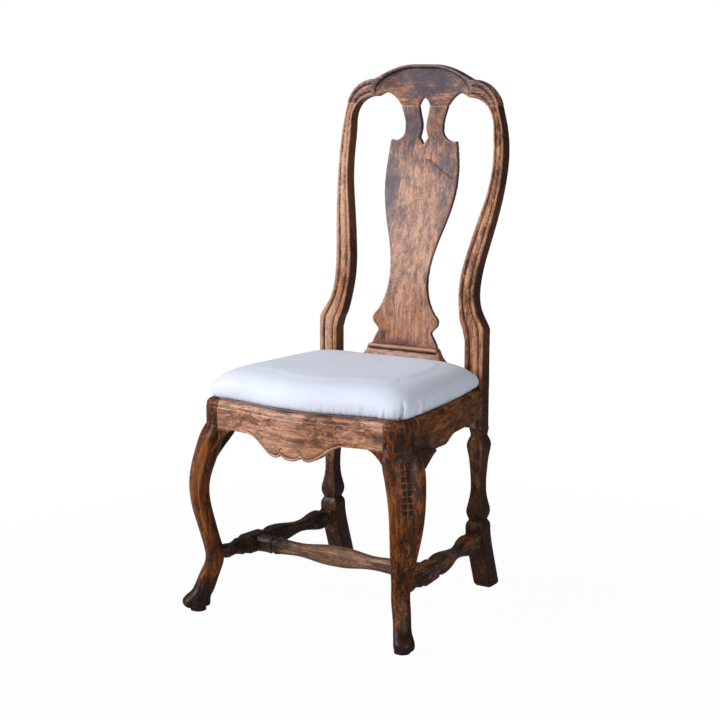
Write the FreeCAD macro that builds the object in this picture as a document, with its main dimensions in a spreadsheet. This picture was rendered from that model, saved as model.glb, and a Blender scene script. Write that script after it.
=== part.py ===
"""Side chair with a pierced vase splat, cabriole front legs, an H stretcher and a drop-in seat.

Millimetres. +Z is up, the sitter faces -Y, and left and right are as seen from the front (-X, +X).
The origin is on the floor, under the middle of the chair's overall box.
"""
import FreeCAD, Part
import math
import os
from FreeCAD import Placement, Rotation, Vector

# Driving sizes. Each one stands alone in a cell of the sheet, under its own alias.
SIZES = {
    # back, from the front view
    "post_outer": 196.0,        # half width over the posts at the seat
    "post_width": 44.0,
    "post_depth": 30.0,
    "stile_depth": 28.0,        # depth of the post at the crest
    "post_front": 149.7,        # y of the posts' front face at the seat
    "shoulder_low": 523.0,      # inner corner of the step in the post
    "shoulder_high": 546.0,     # outer corner of the step in the post
    "shoulder_width": 50.0,
    "waist_height": 625.0,
    "waist_outer": 167.0,
    "waist_width": 37.0,
    "bow_height": 885.0,
    "bow_outer": 195.0,
    "bow_width": 24.5,
    "crest_joint": 990.0,       # height of the joint between post and crest rail
    "joint_outer": 178.0,
    "joint_width": 27.0,
    "crest_top": 1070.0,
    "back_rake": 83.0,          # how far the back leans to the rear
    "rake_start": 510.0,
    "rake_end": 950.0,
    "reed_depth": 3.0,
    # splat and shoe
    "splat_thick": 11.0,
    "splat_setback": 15.0,      # splat's front behind the posts' front
    "splat_lean": 6.0,          # how much further back the splat's foot stands
    "splat_shoulder": 85.0,     # greatest half width of the vase
    "splat_waist": 45.0,
    "splat_foot": 77.5,
    "splat_neck": 47.0,         # half width over the two straps at the crest
    "shoe_top": 497.0,
    "shoe_depth": 25.0,
    "shoe_end": 459.0,          # height of the shoe where it meets the post
    # seat frame
    "seat_rim": 430.0,
    "quirk_height": 415.0,      # bottom of the thumb moulding
    "quirk_depth": 3.0,
    "rim_width": 16.0,
    "ledge_height": 411.0,      # rebate that carries the drop-in seat
    "rail_bottom": 374.0,
    "rail_thick": 38.0,
    "front_end": 225.3,         # -y of the front rail's face at the legs
    "front_bow": 26.0,
    "front_joint": 188.0,       # half length of the front rail between shoulders
    "side_front": 229.0,        # half width over the side rails at the legs
    "side_joint": 163.3,        # -y of the shoulder of the side rail
    "corner_radius": 30.0,
    "apron_drop": 37.0,         # how far the apron hangs below the rail
    "side_rise": 14.5,          # how much shallower the side rail is behind its step
    "tenon_thick": 9.0,
    "tenon_length": 22.0,
    "front_tenon_height": 28.0,
    "side_tenon_low": 376.0,    # bottom of the side rail's front tenon
    "side_tenon_height": 36.0,
    "heel_tenon_low": 372.0,    # bottom of the tenons that enter the rear posts
    "heel_tenon_height": 30.0,
    "rear_tenon_height": 44.0,
    "strap_tenon_width": 22.0,
    "strap_tenon_height": 12.0,
    "glue_gap": 0.1,
    "peg_diameter": 6.5,
    "peg_length": 24.0,
    # legs and stretchers
    "knee_out_x": 237.5,
    "knee_out_y": 219.3,
    "knee_height": 255.0,
    "knee_half_width": 32.0,
    "knee_half_thick": 20.0,
    "ankle_height": 100.0,
    "ankle_half": 18.0,
    "toe_out_x": 238.0,
    "toe_out_y": 234.3,
    "stretcher_height": 110.0,
    "stretcher_size": 34.0,
    "medial_y": -87.3,
    "rear_leg_size": 40.0,
    "rear_sweep": 42.0,         # how far the rear foot kicks back
    # drop-in seat
    "seat_clear": 1.5,
    "seat_rear": 134.2,
    "seat_crown": 490.0,
    "seat_bulge": 14.0,         # how far the cushion swells out over the rim
    "seat_lift": 0.7,           # gap between the cushion and the rim under it
    "cover_thick": 1.2,
    "frame_thick": 17.0,
    "strap_width": 50.0,
    "strap_thick": 1.5,
    "hessian_thick": 0.8,
}

doc = FreeCAD.newDocument("side_chair")
sheet = doc.addObject("Spreadsheet::Sheet", "Sizes")
for row, (alias, value) in enumerate(SIZES.items(), start=1):
    sheet.set(f"A{row}", alias)
    sheet.set(f"B{row}", str(value))
    sheet.setAlias(f"B{row}", alias)
doc.recompute()


def size(alias):
    """A driving size, read from the sheet."""
    return float(sheet.get(alias))


# Planes that sketches are drawn on, as rotations of the XY plane.
FLAT = Rotation()
FRONT_VIEW = Rotation(Vector(1, 0, 0), 90)
SIDE_VIEW = Rotation(0.5, 0.5, 0.5, 0.5)
FAR = 400.0                 # longer than any piece that it cuts
SIDE_LOW = 357.0            # lower edge of the side rail beside the front leg
ARRIS = 2.0                 # worn edge of the posts and stretchers
pieces = {}


def spline(points):
    """A smooth curve through 2D points."""
    curve = Part.BSplineCurve()
    curve.interpolate([Vector(x, y, 0) for x, y in points])
    return curve


def line(start, end):
    return Part.LineSegment(Vector(*start, 0), Vector(*end, 0))


def arc(start, middle, end):
    return Part.Arc(Vector(*start, 0), Vector(*middle, 0), Vector(*end, 0))


def chain(points):
    """Straight edges from point to point."""
    return [line(a, b) for a, b in zip(points, points[1:])]


def sketch(name, plane, curves, base=Vector()):
    """A closed outline on one of the three planes."""
    outline = doc.addObject("Sketcher::SketchObject", name)
    outline.Placement = Placement(base, plane)
    outline.addGeometry(list(curves), False)
    return outline


def extrude(name, outline, direction, length, both_ways=False):
    """An outline drawn out along a direction, by a length that is an expression of the sheet."""
    solid = doc.addObject("Part::Extrusion", name)
    solid.Base = outline
    solid.DirMode = "Custom"
    solid.Dir = direction
    solid.Solid = True
    solid.Symmetric = both_ways
    solid.setExpression("LengthFwd", length)
    return solid


def box(name, length, width, height, x, y, z):
    """A block whose sizes and corner are expressions of the sheet."""
    block = doc.addObject("Part::Box", name)
    for prop, text in zip(("Length", "Width", "Height"), (length, width, height)):
        block.setExpression(prop, text)
    for axis, text in zip("xyz", (x, y, z)):
        block.setExpression(f"Placement.Base.{axis}", text)
    return block


def feature(name, shape):
    """A carved form, made by a loft."""
    carved = doc.addObject("Part::Feature", name)
    carved.Shape = shape
    return carved


def fuse(name, *shapes):
    joined = doc.addObject("Part::MultiFuse", name)
    joined.Shapes = list(shapes)
    return joined


def common(name, *shapes):
    shared = doc.addObject("Part::MultiCommon", name)
    shared.Shapes = list(shapes)
    return shared


def cut(name, base, *tools):
    """What is left of a shape when the tools are taken out of it."""
    tool = tools[0] if len(tools) == 1 else fuse(name + "_waste", *tools)
    rest = doc.addObject("Part::Cut", name)
    rest.Base = base
    rest.Tool = tool
    return rest


def mirror(name, source):
    """The same shape on the other side of the chair."""
    other = doc.addObject("Part::Mirroring", name)
    other.Source = source
    other.Normal = Vector(1, 0, 0)
    return other


def piece(label, shape):
    shape.Label = label
    pieces[label] = shape
    return shape


def pair(label, shape):
    """A right-hand piece and its mirror image on the left."""
    piece(label + "_right", shape)
    piece(label + "_left", mirror(label + "_mirrored", shape))


def wire(points):
    """A closed wire of straight edges through 3D points."""
    return Part.makePolygon([Vector(*p) for p in points] + [Vector(*points[0])])


# Curves that several pieces share.
def rake(z):
    """y of the posts' front face: upright at the seat, leaning back in an S, upright at the crest."""
    share = (z - size("rake_start")) / (size("rake_end") - size("rake_start"))
    share = min(1.0, max(0.0, share))
    return size("post_front") + size("back_rake") * share * share * (3 - 2 * share)


def front_face(x):
    """y of the front rail's face: serpentine, fullest in the middle."""
    turn = math.pi * min(1.0, abs(x) / size("front_joint"))
    return -size("front_end") - size("front_bow") * (0.5 + 0.5 * math.cos(turn))


def side_face(y):
    """x of the side rail's outer face, with a slight belly between leg and post."""
    belly = 6.0
    share = (y + size("side_joint")) / (size("post_front") + size("side_joint"))
    straight = size("side_front") + (size("post_outer") - size("side_front")) * share
    return straight + belly * math.sin(math.pi * min(1.0, max(0.0, share)))


def front_curve(inset, reach):
    """The front rail's plan curve, set back by inset, from -reach to reach."""
    steps = 8
    xs = [reach * (2.0 * i / steps - 1) for i in range(steps + 1)]
    return spline([(x, front_face(x) + inset) for x in xs])


def side_curve(inset, start, end):
    """The right side rail's plan curve, set in by inset, from y = start to y = end."""
    steps = 4
    ys = [start + (end - start) * i / steps for i in range(steps + 1)]
    return spline([(side_face(y) - inset, y) for y in ys])


def seat_outline(inset):
    """Plan of the drop-in seat, set in from the chair's outer faces by inset."""
    reach = size("front_joint") + 5 - inset
    front_y = front_face(reach) + inset
    side_y = -size("side_joint") - 5
    side_x = side_face(side_y) - inset
    rear_y = size("seat_rear") + size("rim_width") + size("seat_clear") - inset
    rear_x = side_face(rear_y) - inset
    bend = 0.29 * min(side_x - reach, side_y - front_y)
    corner = (side_x - bend, front_y + bend)
    mirrored = [(-x, side_y + (rear_y - side_y) * i / 4) for i, x in
                ((i, side_face(side_y + (rear_y - side_y) * i / 4) - inset) for i in range(5))]
    return [
        front_curve(inset, reach),
        arc((reach, front_y), corner, (side_x, side_y)),
        side_curve(inset, side_y, rear_y),
        line((rear_x, rear_y), (-rear_x, rear_y)),
        spline(mirrored[::-1]),
        arc((-side_x, side_y), (-corner[0], corner[1]), (-reach, front_y)),
    ]


def plan_wire(curves, z):
    """Plan curves as one closed wire at a height."""
    edges = [c.toShape() for c in curves]
    loop = Part.Wire(edges)
    loop.translate(Vector(0, 0, z))
    return loop


# The well that the drop-in seat lies in, cut out of the rails and the leg tops.
well = extrude("seat_well", sketch("well_plan", FLAT, seat_outline(size("rim_width")),
                                   Vector(0, 0, size("ledge_height"))),
               Vector(0, 0, 1), "Sizes.seat_crown - Sizes.ledge_height")


# Rear post: the back stile and the rear leg in one stick.
def post_section(z, outer, width):
    """The moulded section of the post: two reeds cut beside a flat bead, on the raked front."""
    front = rake(z)
    taper = min(1.0, max(0.0, (z - size("shoulder_high")) / (size("crest_joint") - size("shoulder_high"))))
    back = front + size("post_depth") + (size("stile_depth") - size("post_depth")) * taper
    inner = outer - width
    depth = size("reed_depth")
    side, bed, bead = 0.2 * width, 0.27 * width, 0.35 * width
    return wire([
        (outer, back - ARRIS, z), (outer, front + ARRIS, z), (outer - ARRIS, front, z),
        (outer - side, front, z), (outer - bed, front + depth, z), (outer - bead, front + 0.8, z),
        (outer - width / 2, front, z),
        (inner + bead, front + 0.8, z), (inner + bed, front + depth, z), (inner + side, front, z),
        (inner + ARRIS, front, z), (inner, front + ARRIS, z),
        (inner, back - ARRIS, z), (inner + ARRIS, back, z), (outer - ARRIS, back, z),
    ])


def square_section(z, x, y, half, chamfer):
    """A square section with cut corners, level, about a centre."""
    c = half - chamfer
    corners = [(half, -c), (half, c), (c, half), (-c, half),
               (-half, c), (-half, -c), (-c, -half), (c, -half)]
    return wire([(x + a, y + b, z) for a, b in corners])


def rear_post():
    """Stile above the seat, square baluster leg below it, foot kicked back."""
    seat_width, step_width = size("post_width"), size("shoulder_width")
    low, high = size("shoulder_low"), size("shoulder_high")
    block_low = 345.0
    outer = size("post_outer")
    waist_z, bow_z, top_z = size("waist_height"), size("bow_height"), size("crest_joint")
    waist, bow, top = size("waist_outer"), size("bow_outer"), size("joint_outer")
    waist_w, bow_w, top_w = size("waist_width"), size("bow_width"), size("joint_width")
    rise = bow_z - waist_z
    stile = [
        (high, outer, step_width),
        (high + 0.22 * (waist_z - high), outer - 0.32 * (outer - waist), step_width - 2),
        (high + 0.5 * (waist_z - high), outer - 0.75 * (outer - waist), waist_w + 3),
        (high + 0.78 * (waist_z - high), waist + 1.2, waist_w),
        (waist_z + 0.06 * rise, waist, waist_w),
        (waist_z + 0.3 * rise, waist + 0.29 * (bow - waist), waist_w - 1),
        (waist_z + 0.52 * rise, waist + 0.65 * (bow - waist), bow_w + 9),
        (waist_z + 0.76 * rise, waist + 0.92 * (bow - waist), bow_w + 2.5),
        (bow_z, bow, bow_w),
        (bow_z + 0.5 * (top_z - bow_z), bow - 0.28 * (bow - top), bow_w - 2),
        (top_z, top, top_w),
    ]
    upright = [post_section(block_low, outer, seat_width), post_section(low, outer, seat_width)]
    step = [post_section(low, outer, seat_width), post_section(high, outer, step_width)]
    parts = [Part.makeLoft(upright, True, True), Part.makeLoft(step, True, True),
             Part.makeLoft([post_section(*s) for s in stile], True, False)]
    x = outer - seat_width / 2 + 3
    y = size("post_front") + size("post_depth") / 2 + 8
    half = size("rear_leg_size") / 2
    neck = 13.5
    runs = [
        [(block_low, half - 4), (338.0, half - 5), (330.0, neck)],
        [(330.0, neck), (322.0, half - 4), (312.0, half - 1), (290.0, half - 3),
         (258.0, 14.0), (228.0, 12.6),
         (205.0, 13.5), (186.0, 16.5), (168.0, half - 1), (158.0, half - 3), (151.0, neck + 1)],
        [(151.0, neck + 1), (146.0, half - 2), (138.0, half)],
    ]
    for stations in runs:
        parts.append(Part.makeLoft([square_section(z, x, y, h, ARRIS) for z, h in stations], True, False))
    kick = size("rear_sweep")
    foot = [(138.0, 0.0, half), (105.0, 0.12, half), (70.0, 0.4, half), (35.0, 0.7, half), (6.0, 0.96, half)]
    foot_sections = [square_section(z, x, y + kick * share, wide, ARRIS) for z, share, wide in foot]
    parts.append(Part.makeLoft(foot_sections, True, False))
    sole = [square_section(6.0, x, y + kick * 0.96, half, ARRIS),
            square_section(0.0, x, y + kick, half - 4, ARRIS)]
    parts.append(Part.makeLoft(sole, True, True))
    return parts[0].multiFuse(parts[1:]).removeSplitter()


post_blank = feature("post_blank", rear_post())

# Crest rail: front view and plan sawn from one board, with a sunk field flush with the splat.
crest_y = rake(size("crest_top"))
field_y = crest_y + size("splat_setback")
back_y = crest_y + size("stile_depth")
joint_z = size("crest_joint")
top_z = size("crest_top")
joint_in = size("joint_outer") - size("joint_width")
strap_z = joint_z - 3.0         # joint between the splat's straps and the crest
neck_out = size("splat_neck") + 8.0
key_half = 12.5
cusp = (113.0, joint_z + 50.0)
under_cusp = (110.0, joint_z + 14.0)


def both_sides(curve_points):
    """Curves of a right half, then the same curves on the left, as one closed round."""
    right = [spline(points) for points in curve_points]
    left = [spline([(-x, y) for x, y in points][::-1]) for points in curve_points[::-1]]
    return right, left


def crest_outline():
    """Arched top, cusps, reeded shoulders and the arches under them."""
    outer = size("joint_outer")
    halves = [
        [(0.0, joint_z + 13.0), (9.0, joint_z + 6.0), (key_half, strap_z)],
        [(key_half, strap_z), (neck_out, strap_z)],
        [(neck_out, strap_z), (70.0, joint_z + 15.0), (86.0, joint_z + 22.5),
         (99.0, joint_z + 20.0), under_cusp],
        [under_cusp, (126.0, joint_z + 13.0), (142.0, joint_z + 7.0), (joint_in, joint_z)],
        [(joint_in, joint_z), (outer, joint_z)],
        [(outer, joint_z), (175.0, joint_z + 9.0), (167.0, joint_z + 22.0), (155.0, joint_z + 35.0),
         (138.0, joint_z + 45.0), (124.0, joint_z + 49.0), cusp],
        [cusp, (98.0, top_z - 22.0), (74.0, top_z - 11.0), (50.0, top_z - 3.5), (26.0, top_z)],
        [(26.0, top_z), (0.0, top_z)],
    ]
    right, left = both_sides(halves)
    return right + left


def field_outline():
    """The sunk field: rounded ends, and a lip left standing along the arch."""
    lip = 6.0
    halves = [
        [(0.0, strap_z - 20.0), (under_cusp[0] - 2.0, strap_z - 20.0)],
        [(under_cusp[0] - 2.0, strap_z - 20.0), (under_cusp[0] - 2.0, under_cusp[1] - 4.0)],
        [(under_cusp[0] - 2.0, under_cusp[1] - 4.0), (cusp[0] - 1.0, joint_z + 28.0),
         (cusp[0] - 10.0, cusp[1] - 6.0)],
        [(cusp[0] - 10.0, cusp[1] - 6.0), (74.0, top_z - 11.0 - lip), (50.0, top_z - 3.5 - lip),
         (26.0, top_z - lip)],
        [(26.0, top_z - lip), (0.0, top_z - lip)],
    ]
    right, left = both_sides(halves)
    return right + left


def crest_plan():
    """Plan of the crest: hollowed a little between the shoulders."""
    hollow = 9.0
    edge = 120.0
    wide = size("joint_outer") + 30
    front = [(-edge, crest_y), (0.0, crest_y + hollow), (edge, crest_y)]
    return [line((-wide, crest_y), front[0]), arc(*front), line(front[2], (wide, crest_y)),
            line((wide, crest_y), (wide, back_y)), line((wide, back_y), (-wide, back_y)),
            line((-wide, back_y), (-wide, crest_y))]


def field_plan():
    """Plan of the sunk field: flush with the splat in the middle, rising to the shoulders."""
    flat_y = crest_y + size("splat_setback")
    right = [(52.0, flat_y), (80.0, flat_y - 4.0), (108.0, flat_y - 10.0), (135.0, flat_y - 14.0)]
    left = [(-x, y) for x, y in right[::-1]]
    clear_y = crest_y - 40.0
    return [line(left[-1], right[0]), spline(right), line(right[-1], (135.0, clear_y)),
            line((135.0, clear_y), (-135.0, clear_y)), line((-135.0, clear_y), left[0]), spline(left)]


def shoulder_reed(share, width):
    """A reed's path on the right shoulder, at a share of the way in from the outer edge."""
    def along(points_out, points_in, at):
        return [(o[0] + (i[0] - o[0]) * at, o[1] + (i[1] - o[1]) * at)
                for o, i in zip(points_out, points_in)]
    outside = [(size("joint_outer"), joint_z), (169.0, joint_z + 19.0), (150.0, joint_z + 38.0),
               (118.0, joint_z + 48.0)]
    inside = [(joint_in, joint_z), (144.0, joint_z + 6.0), (131.0, joint_z + 11.5), (118.0, joint_z + 13.5)]
    near = along(outside, inside, share - width)
    far = along(outside, inside, share + width)
    return [spline(near), line(near[-1], far[-1]), spline(far[::-1]), line(far[0], near[0])]


crest_block = extrude("crest_block", sketch("crest_front", FRONT_VIEW, crest_outline()),
                      Vector(0, 1, 0), f"{FAR}")
crest_slab = extrude("crest_slab", sketch("crest_plan", FLAT, crest_plan()),
                     Vector(0, 0, 1), "Sizes.crest_top + 10")
field_prism = extrude("field_prism", sketch("crest_field_line", FRONT_VIEW, field_outline()),
                      Vector(0, 1, 0), f"{FAR}")
field_dish = extrude("field_dish", sketch("crest_field_plan", FLAT, field_plan()),
                     Vector(0, 0, 1), "Sizes.crest_top + 10")
crest_field = common("crest_field", field_prism, field_dish)
reed_tools = []
for number, share in enumerate((0.27, 0.73)):
    reed_line = sketch(f"reed_line_{number}", FRONT_VIEW, shoulder_reed(share, 0.06))
    reed = extrude(f"shoulder_reed_{number}", reed_line, Vector(0, 1, 0),
                   "Sizes.post_front + Sizes.back_rake + Sizes.reed_depth")
    reed_tools += [reed, mirror(f"shoulder_reed_{number}_left", reed)]
post_tenon = box("post_tenon", "Sizes.joint_width / 2", "Sizes.tenon_thick", "Sizes.tenon_length - 6",
                 "Sizes.joint_outer - 0.75 * Sizes.joint_width",
                 "Sizes.post_front + Sizes.back_rake + 0.35 * Sizes.stile_depth", "Sizes.crest_joint")
post_socket = box("post_socket", "Sizes.joint_width / 2 + 2 * Sizes.glue_gap",
                  "Sizes.tenon_thick + 2 * Sizes.glue_gap", "Sizes.tenon_length - 5",
                  "Sizes.joint_outer - 0.75 * Sizes.joint_width - Sizes.glue_gap",
                  "Sizes.post_front + Sizes.back_rake + 0.35 * Sizes.stile_depth - Sizes.glue_gap",
                  "Sizes.crest_joint")

# Splat: a pierced vase, sawn to the rake of the posts.
foot_z = size("shoe_top")


def splat_outline():
    """Vase with ears at its foot, a square shoulder, and two straps with a keyhole between them."""
    foot, waist, wide = size("splat_foot"), size("splat_waist"), size("splat_shoulder")
    neck = size("splat_neck")
    halves = [
        [(0.0, foot_z), (foot, foot_z)],
        [(foot, foot_z), (foot - 4.0, foot_z + 9.0), (foot - 15.0, foot_z + 28.0)],
        [(foot - 15.0, foot_z + 28.0), (foot - 11.0, foot_z + 36.0), (foot - 3.0, foot_z + 43.0),
         (foot, foot_z + 52.0), (foot - 3.0, foot_z + 61.0), (foot - 9.0, foot_z + 67.0)],
        [(foot - 9.0, foot_z + 67.0), (foot - 21.0, foot_z + 87.0), (waist, foot_z + 138.0),
         (waist + 10.5, foot_z + 208.0), (wide - 6.0, foot_z + 288.0), (wide, foot_z + 350.0),
         (wide - 3.0, foot_z + 388.0), (wide - 7.5, foot_z + 419.0)],
        [(wide - 7.5, foot_z + 419.0), (58.0, foot_z + 420.0), (neck, foot_z + 430.0),
         (neck - 3.2, foot_z + 448.0), (neck + 0.7, foot_z + 468.0), (neck_out, strap_z)],
        [(neck_out, strap_z), (key_half, strap_z)],
        [(key_half, strap_z), (8.5, joint_z - 25.0), (5.5, joint_z - 42.0), (6.5, joint_z - 56.0),
         (10.5, joint_z - 69.0)],
        [(10.5, joint_z - 69.0), (0.0, joint_z - 83.0)],
    ]
    right, left = both_sides(halves)
    return right + left


def splat_face(z):
    """y of the splat's front, which stands a little further back at its foot."""
    share = min(1.0, max(0.0, (z - foot_z) / (size("bow_height") - foot_z)))
    return rake(z) + size("splat_setback") + size("splat_lean") * (1.0 - share)


def splat_edge():
    """Side view of the splat: a bent board behind the posts' front."""
    steps = 8
    start, end = foot_z - 40.0, strap_z + 40.0
    heights = [start + (end - start) * i / steps for i in range(steps + 1)]
    front = [(splat_face(z), z) for z in heights]
    back = [(y + size("splat_thick"), z) for y, z in front]
    return [spline(front), line(front[-1], back[-1]), spline(back[::-1]), line(back[0], front[0])]


splat_block = extrude("splat_block", sketch("splat_front", FRONT_VIEW, splat_outline()),
                      Vector(0, 1, 0), f"{FAR}")
splat_board = extrude("splat_board", sketch("splat_side", SIDE_VIEW, splat_edge(), Vector(-FAR / 2, 0, 0)),
                      Vector(1, 0, 0), f"{FAR}")
splat_vase = common("splat_vase", splat_block, splat_board)
foot_y = "Sizes.post_front + Sizes.splat_setback + Sizes.splat_lean + 0.2 * Sizes.splat_thick"
foot_tenon = box("splat_foot_tenon", "1.2 * Sizes.splat_foot", "0.6 * Sizes.splat_thick",
                 "Sizes.tenon_length", "-0.6 * Sizes.splat_foot", foot_y,
                 "Sizes.shoe_top - Sizes.tenon_length")
foot_slot = box("splat_foot_slot", "1.2 * Sizes.splat_foot + 2 * Sizes.glue_gap",
                "0.6 * Sizes.splat_thick + 2 * Sizes.glue_gap", "Sizes.tenon_length + 1",
                "-0.6 * Sizes.splat_foot - Sizes.glue_gap", foot_y + " - Sizes.glue_gap",
                "Sizes.shoe_top - Sizes.tenon_length - 1")
strap_y = "Sizes.post_front + Sizes.back_rake + Sizes.splat_setback + 0.25 * Sizes.splat_thick"
strap_tenon = box("strap_tenon", "Sizes.strap_tenon_width", "0.5 * Sizes.splat_thick",
                  "Sizes.strap_tenon_height", "Sizes.strap_tenon_width", strap_y, "Sizes.crest_joint - 3")
strap_slot = box("strap_slot", "Sizes.strap_tenon_width + 2 * Sizes.glue_gap",
                 "0.5 * Sizes.splat_thick + 2 * Sizes.glue_gap", "Sizes.strap_tenon_height + 1",
                 "Sizes.strap_tenon_width - Sizes.glue_gap", strap_y + " - Sizes.glue_gap",
                 "Sizes.crest_joint - 3")
strap_tenon_left = mirror("strap_tenon_left", strap_tenon)
piece("splat", fuse("splat", splat_vase, foot_tenon, strap_tenon, strap_tenon_left))
crest_sawn = common("crest_sawn", crest_block, crest_slab)
piece("crest_rail", cut("crest_rail", crest_sawn, crest_field, *reed_tools, post_socket,
                        mirror("post_socket_left", post_socket), strap_slot,
                        mirror("strap_slot_left", strap_slot)))

# Rear seat rail with its ledge, and the shoe that stands on it and holds the splat's foot.
rail_low = 362.0
rail_back = size("post_front") + size("post_depth")
shoe_front = rail_back - size("shoe_depth")
rail_top = size("seat_rim") + 10.0
ledge = size("ledge_height")
rear_section = chain([(rail_back - 50.0, rail_low), (rail_back, rail_low), (rail_back, rail_top),
                      (shoe_front, rail_top), (shoe_front, ledge), (rail_back - 50.0, ledge),
                      (rail_back - 50.0, rail_low)])
post_inner = size("post_outer") - size("post_width")
rear_bar = extrude("rear_bar", sketch("rear_rail_section", SIDE_VIEW, rear_section), Vector(1, 0, 0),
                   "2 * (Sizes.post_outer - Sizes.post_width)", True)
rear_tenon_y = "Sizes.post_front + 0.62 * Sizes.post_depth"
rear_tenon = box("rear_tenon", "Sizes.tenon_length + 5", "Sizes.tenon_thick", "Sizes.rear_tenon_height",
                 "Sizes.post_outer - Sizes.post_width - 5", rear_tenon_y, "Sizes.heel_tenon_low")
rear_socket = box("rear_socket", "Sizes.tenon_length + 6", "Sizes.tenon_thick + 2 * Sizes.glue_gap",
                  "Sizes.rear_tenon_height + 2 * Sizes.glue_gap", "Sizes.post_outer - Sizes.post_width - 5",
                  rear_tenon_y + " - Sizes.glue_gap", "Sizes.heel_tenon_low - Sizes.glue_gap")


def shoe_outline():
    """Front view of the shoe: level under the splat, sweeping down to the posts in hollow curves."""
    top = size("shoe_top")
    flat = size("splat_foot") + 2.0
    end = size("shoe_end")
    halves = [
        [(0.0, rail_top), (post_inner, rail_top)],
        [(post_inner, rail_top), (post_inner, end)],
        [(post_inner, end), (flat + 40.0, end + 2.0), (flat + 20.0, end + 10.0), (flat + 7.0, top - 13.0)],
        [(flat + 7.0, top - 13.0), (flat + 4.0, top - 6.0), (flat, top)],
        [(flat, top), (0.0, top)],
    ]
    right, left = both_sides(halves)
    return right + left


def shoe_moulding():
    """Side view of the shoe: a torus at the top over a cove."""
    top = size("shoe_top")
    lean = shoe_front + 9.0
    return [line((rail_back, rail_top), (rail_back, top)), line((rail_back, top), (lean, top)),
            arc((lean, top), (lean - 4.0, top - 4.0), (lean, top - 8.0)),
            arc((lean, top - 8.0), (shoe_front + 4.5, top - 20.0), (shoe_front, top - 26.0)),
            line((shoe_front, top - 26.0), (shoe_front, rail_top)),
            line((shoe_front, rail_top), (rail_back, rail_top))]


shoe_block = extrude("shoe_block", sketch("shoe_front", FRONT_VIEW, shoe_outline()),
                     Vector(0, 1, 0), f"{FAR}")
shoe_bar = extrude("shoe_bar", sketch("shoe_side", SIDE_VIEW, shoe_moulding()),
                   Vector(1, 0, 0), f"{FAR}", True)
piece("splat_shoe", cut("splat_shoe", common("shoe_sawn", shoe_block, shoe_bar), foot_slot))


# Thumb moulding along the top of the rails and leg tops: a sharp quirk, then a rounded rim.
def thumb(name, outline):
    """A loft of plan outlines, each set in further as the moulding rolls over."""
    quirk, low, high = size("quirk_depth"), size("quirk_height"), size("seat_rim")
    sections = []
    for share, roll in ((0.0, 1.6), (0.16, -1.4), (0.45, -1.4), (0.74, 1.2), (0.92, 4.8), (1.0, 9.0)):
        sections.append(plan_wire(outline(quirk + roll), low + (high - low) * share))
    return feature(name, Part.makeLoft(sections, True, False))


# Front rail with its shaped apron.
front_back = -size("front_end") + size("rail_thick")
half_front = size("front_joint")


def front_plan(inset):
    end_y = front_face(half_front) + inset
    return [front_curve(inset, half_front), line((half_front, end_y), (half_front, front_back)),
            line((half_front, front_back), (-half_front, front_back)),
            line((-half_front, front_back), (-half_front, end_y))]


def apron_outline():
    """Front view below the moulding: the apron falls in an ogee to three small lobes."""
    bottom, drop = size("rail_bottom"), size("apron_drop")
    low, top = bottom - drop, size("quirk_height")
    halves = [
        [(0.0, low), (13.0, low + 0.055 * drop), (24.0, low + 0.27 * drop)],
        [(24.0, low + 0.27 * drop), (31.0, low + 0.08 * drop), (40.0, low + 0.055 * drop),
         (49.0, low + 0.135 * drop)],
        [(49.0, low + 0.135 * drop), (62.0, low + 0.35 * drop), (83.0, low + 0.76 * drop),
         (100.0, low + 0.96 * drop), (116.0, bottom)],
        [(116.0, bottom), (half_front, bottom)],
        [(half_front, bottom), (half_front, top)],
        [(half_front, top), (0.0, top)],
    ]
    right, left = both_sides(halves)
    return right + left


front_prism = extrude("front_prism", sketch("front_plan", FLAT, front_plan(0.0)),
                      Vector(0, 0, 1), "Sizes.quirk_height")
front_saw = extrude("front_saw", sketch("apron_front", FRONT_VIEW, apron_outline(), Vector(0, -FAR, 0)),
                    Vector(0, 1, 0), f"{FAR}")
front_tenon = box("front_tenon", "Sizes.tenon_length", "Sizes.tenon_thick", "Sizes.front_tenon_height",
                  "Sizes.front_joint", "-Sizes.front_end + 12", "Sizes.rail_bottom + 4")
front_socket = box("front_socket", "Sizes.tenon_length + 1", "Sizes.tenon_thick + 2 * Sizes.glue_gap",
                   "Sizes.front_tenon_height + 2 * Sizes.glue_gap", "Sizes.front_joint",
                   "-Sizes.front_end + 12 - Sizes.glue_gap",
                   "Sizes.rail_bottom + 4 - Sizes.glue_gap")
apron_back = box("apron_back", "2 * Sizes.front_joint", "Sizes.rail_thick", "Sizes.rail_bottom - 6",
                 "-Sizes.front_joint", "-Sizes.front_end + 6", "0")

# Side rail, with a stepped lower edge.
side_start, side_end = -size("side_joint"), size("post_front")


def side_plan(inset):
    thick = size("rail_thick")
    inner_front = (side_face(side_start) - thick, side_start)
    inner_rear = (side_face(side_end) - thick, side_end)
    return [side_curve(inset, side_start, side_end),
            line((side_face(side_end) - inset, side_end), inner_rear), line(inner_rear, inner_front),
            line(inner_front, (side_face(side_start) - inset, side_start))]


def side_edge():
    low, rise, top = SIDE_LOW, size("side_rise"), size("quirk_height")
    high = low + rise
    return [line((side_end, top), (side_end, high)), line((side_end, high), (-4.0, high)),
            spline([(-4.0, high), (-16.0, high - 0.2 * rise), (-30.0, low + 0.42 * rise),
                    (-42.0, low + 0.08 * rise), (-54.0, low)]),
            line((-54.0, low), (side_start, low)), line((side_start, low), (side_start, top)),
            line((side_start, top), (side_end, top))]


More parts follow.
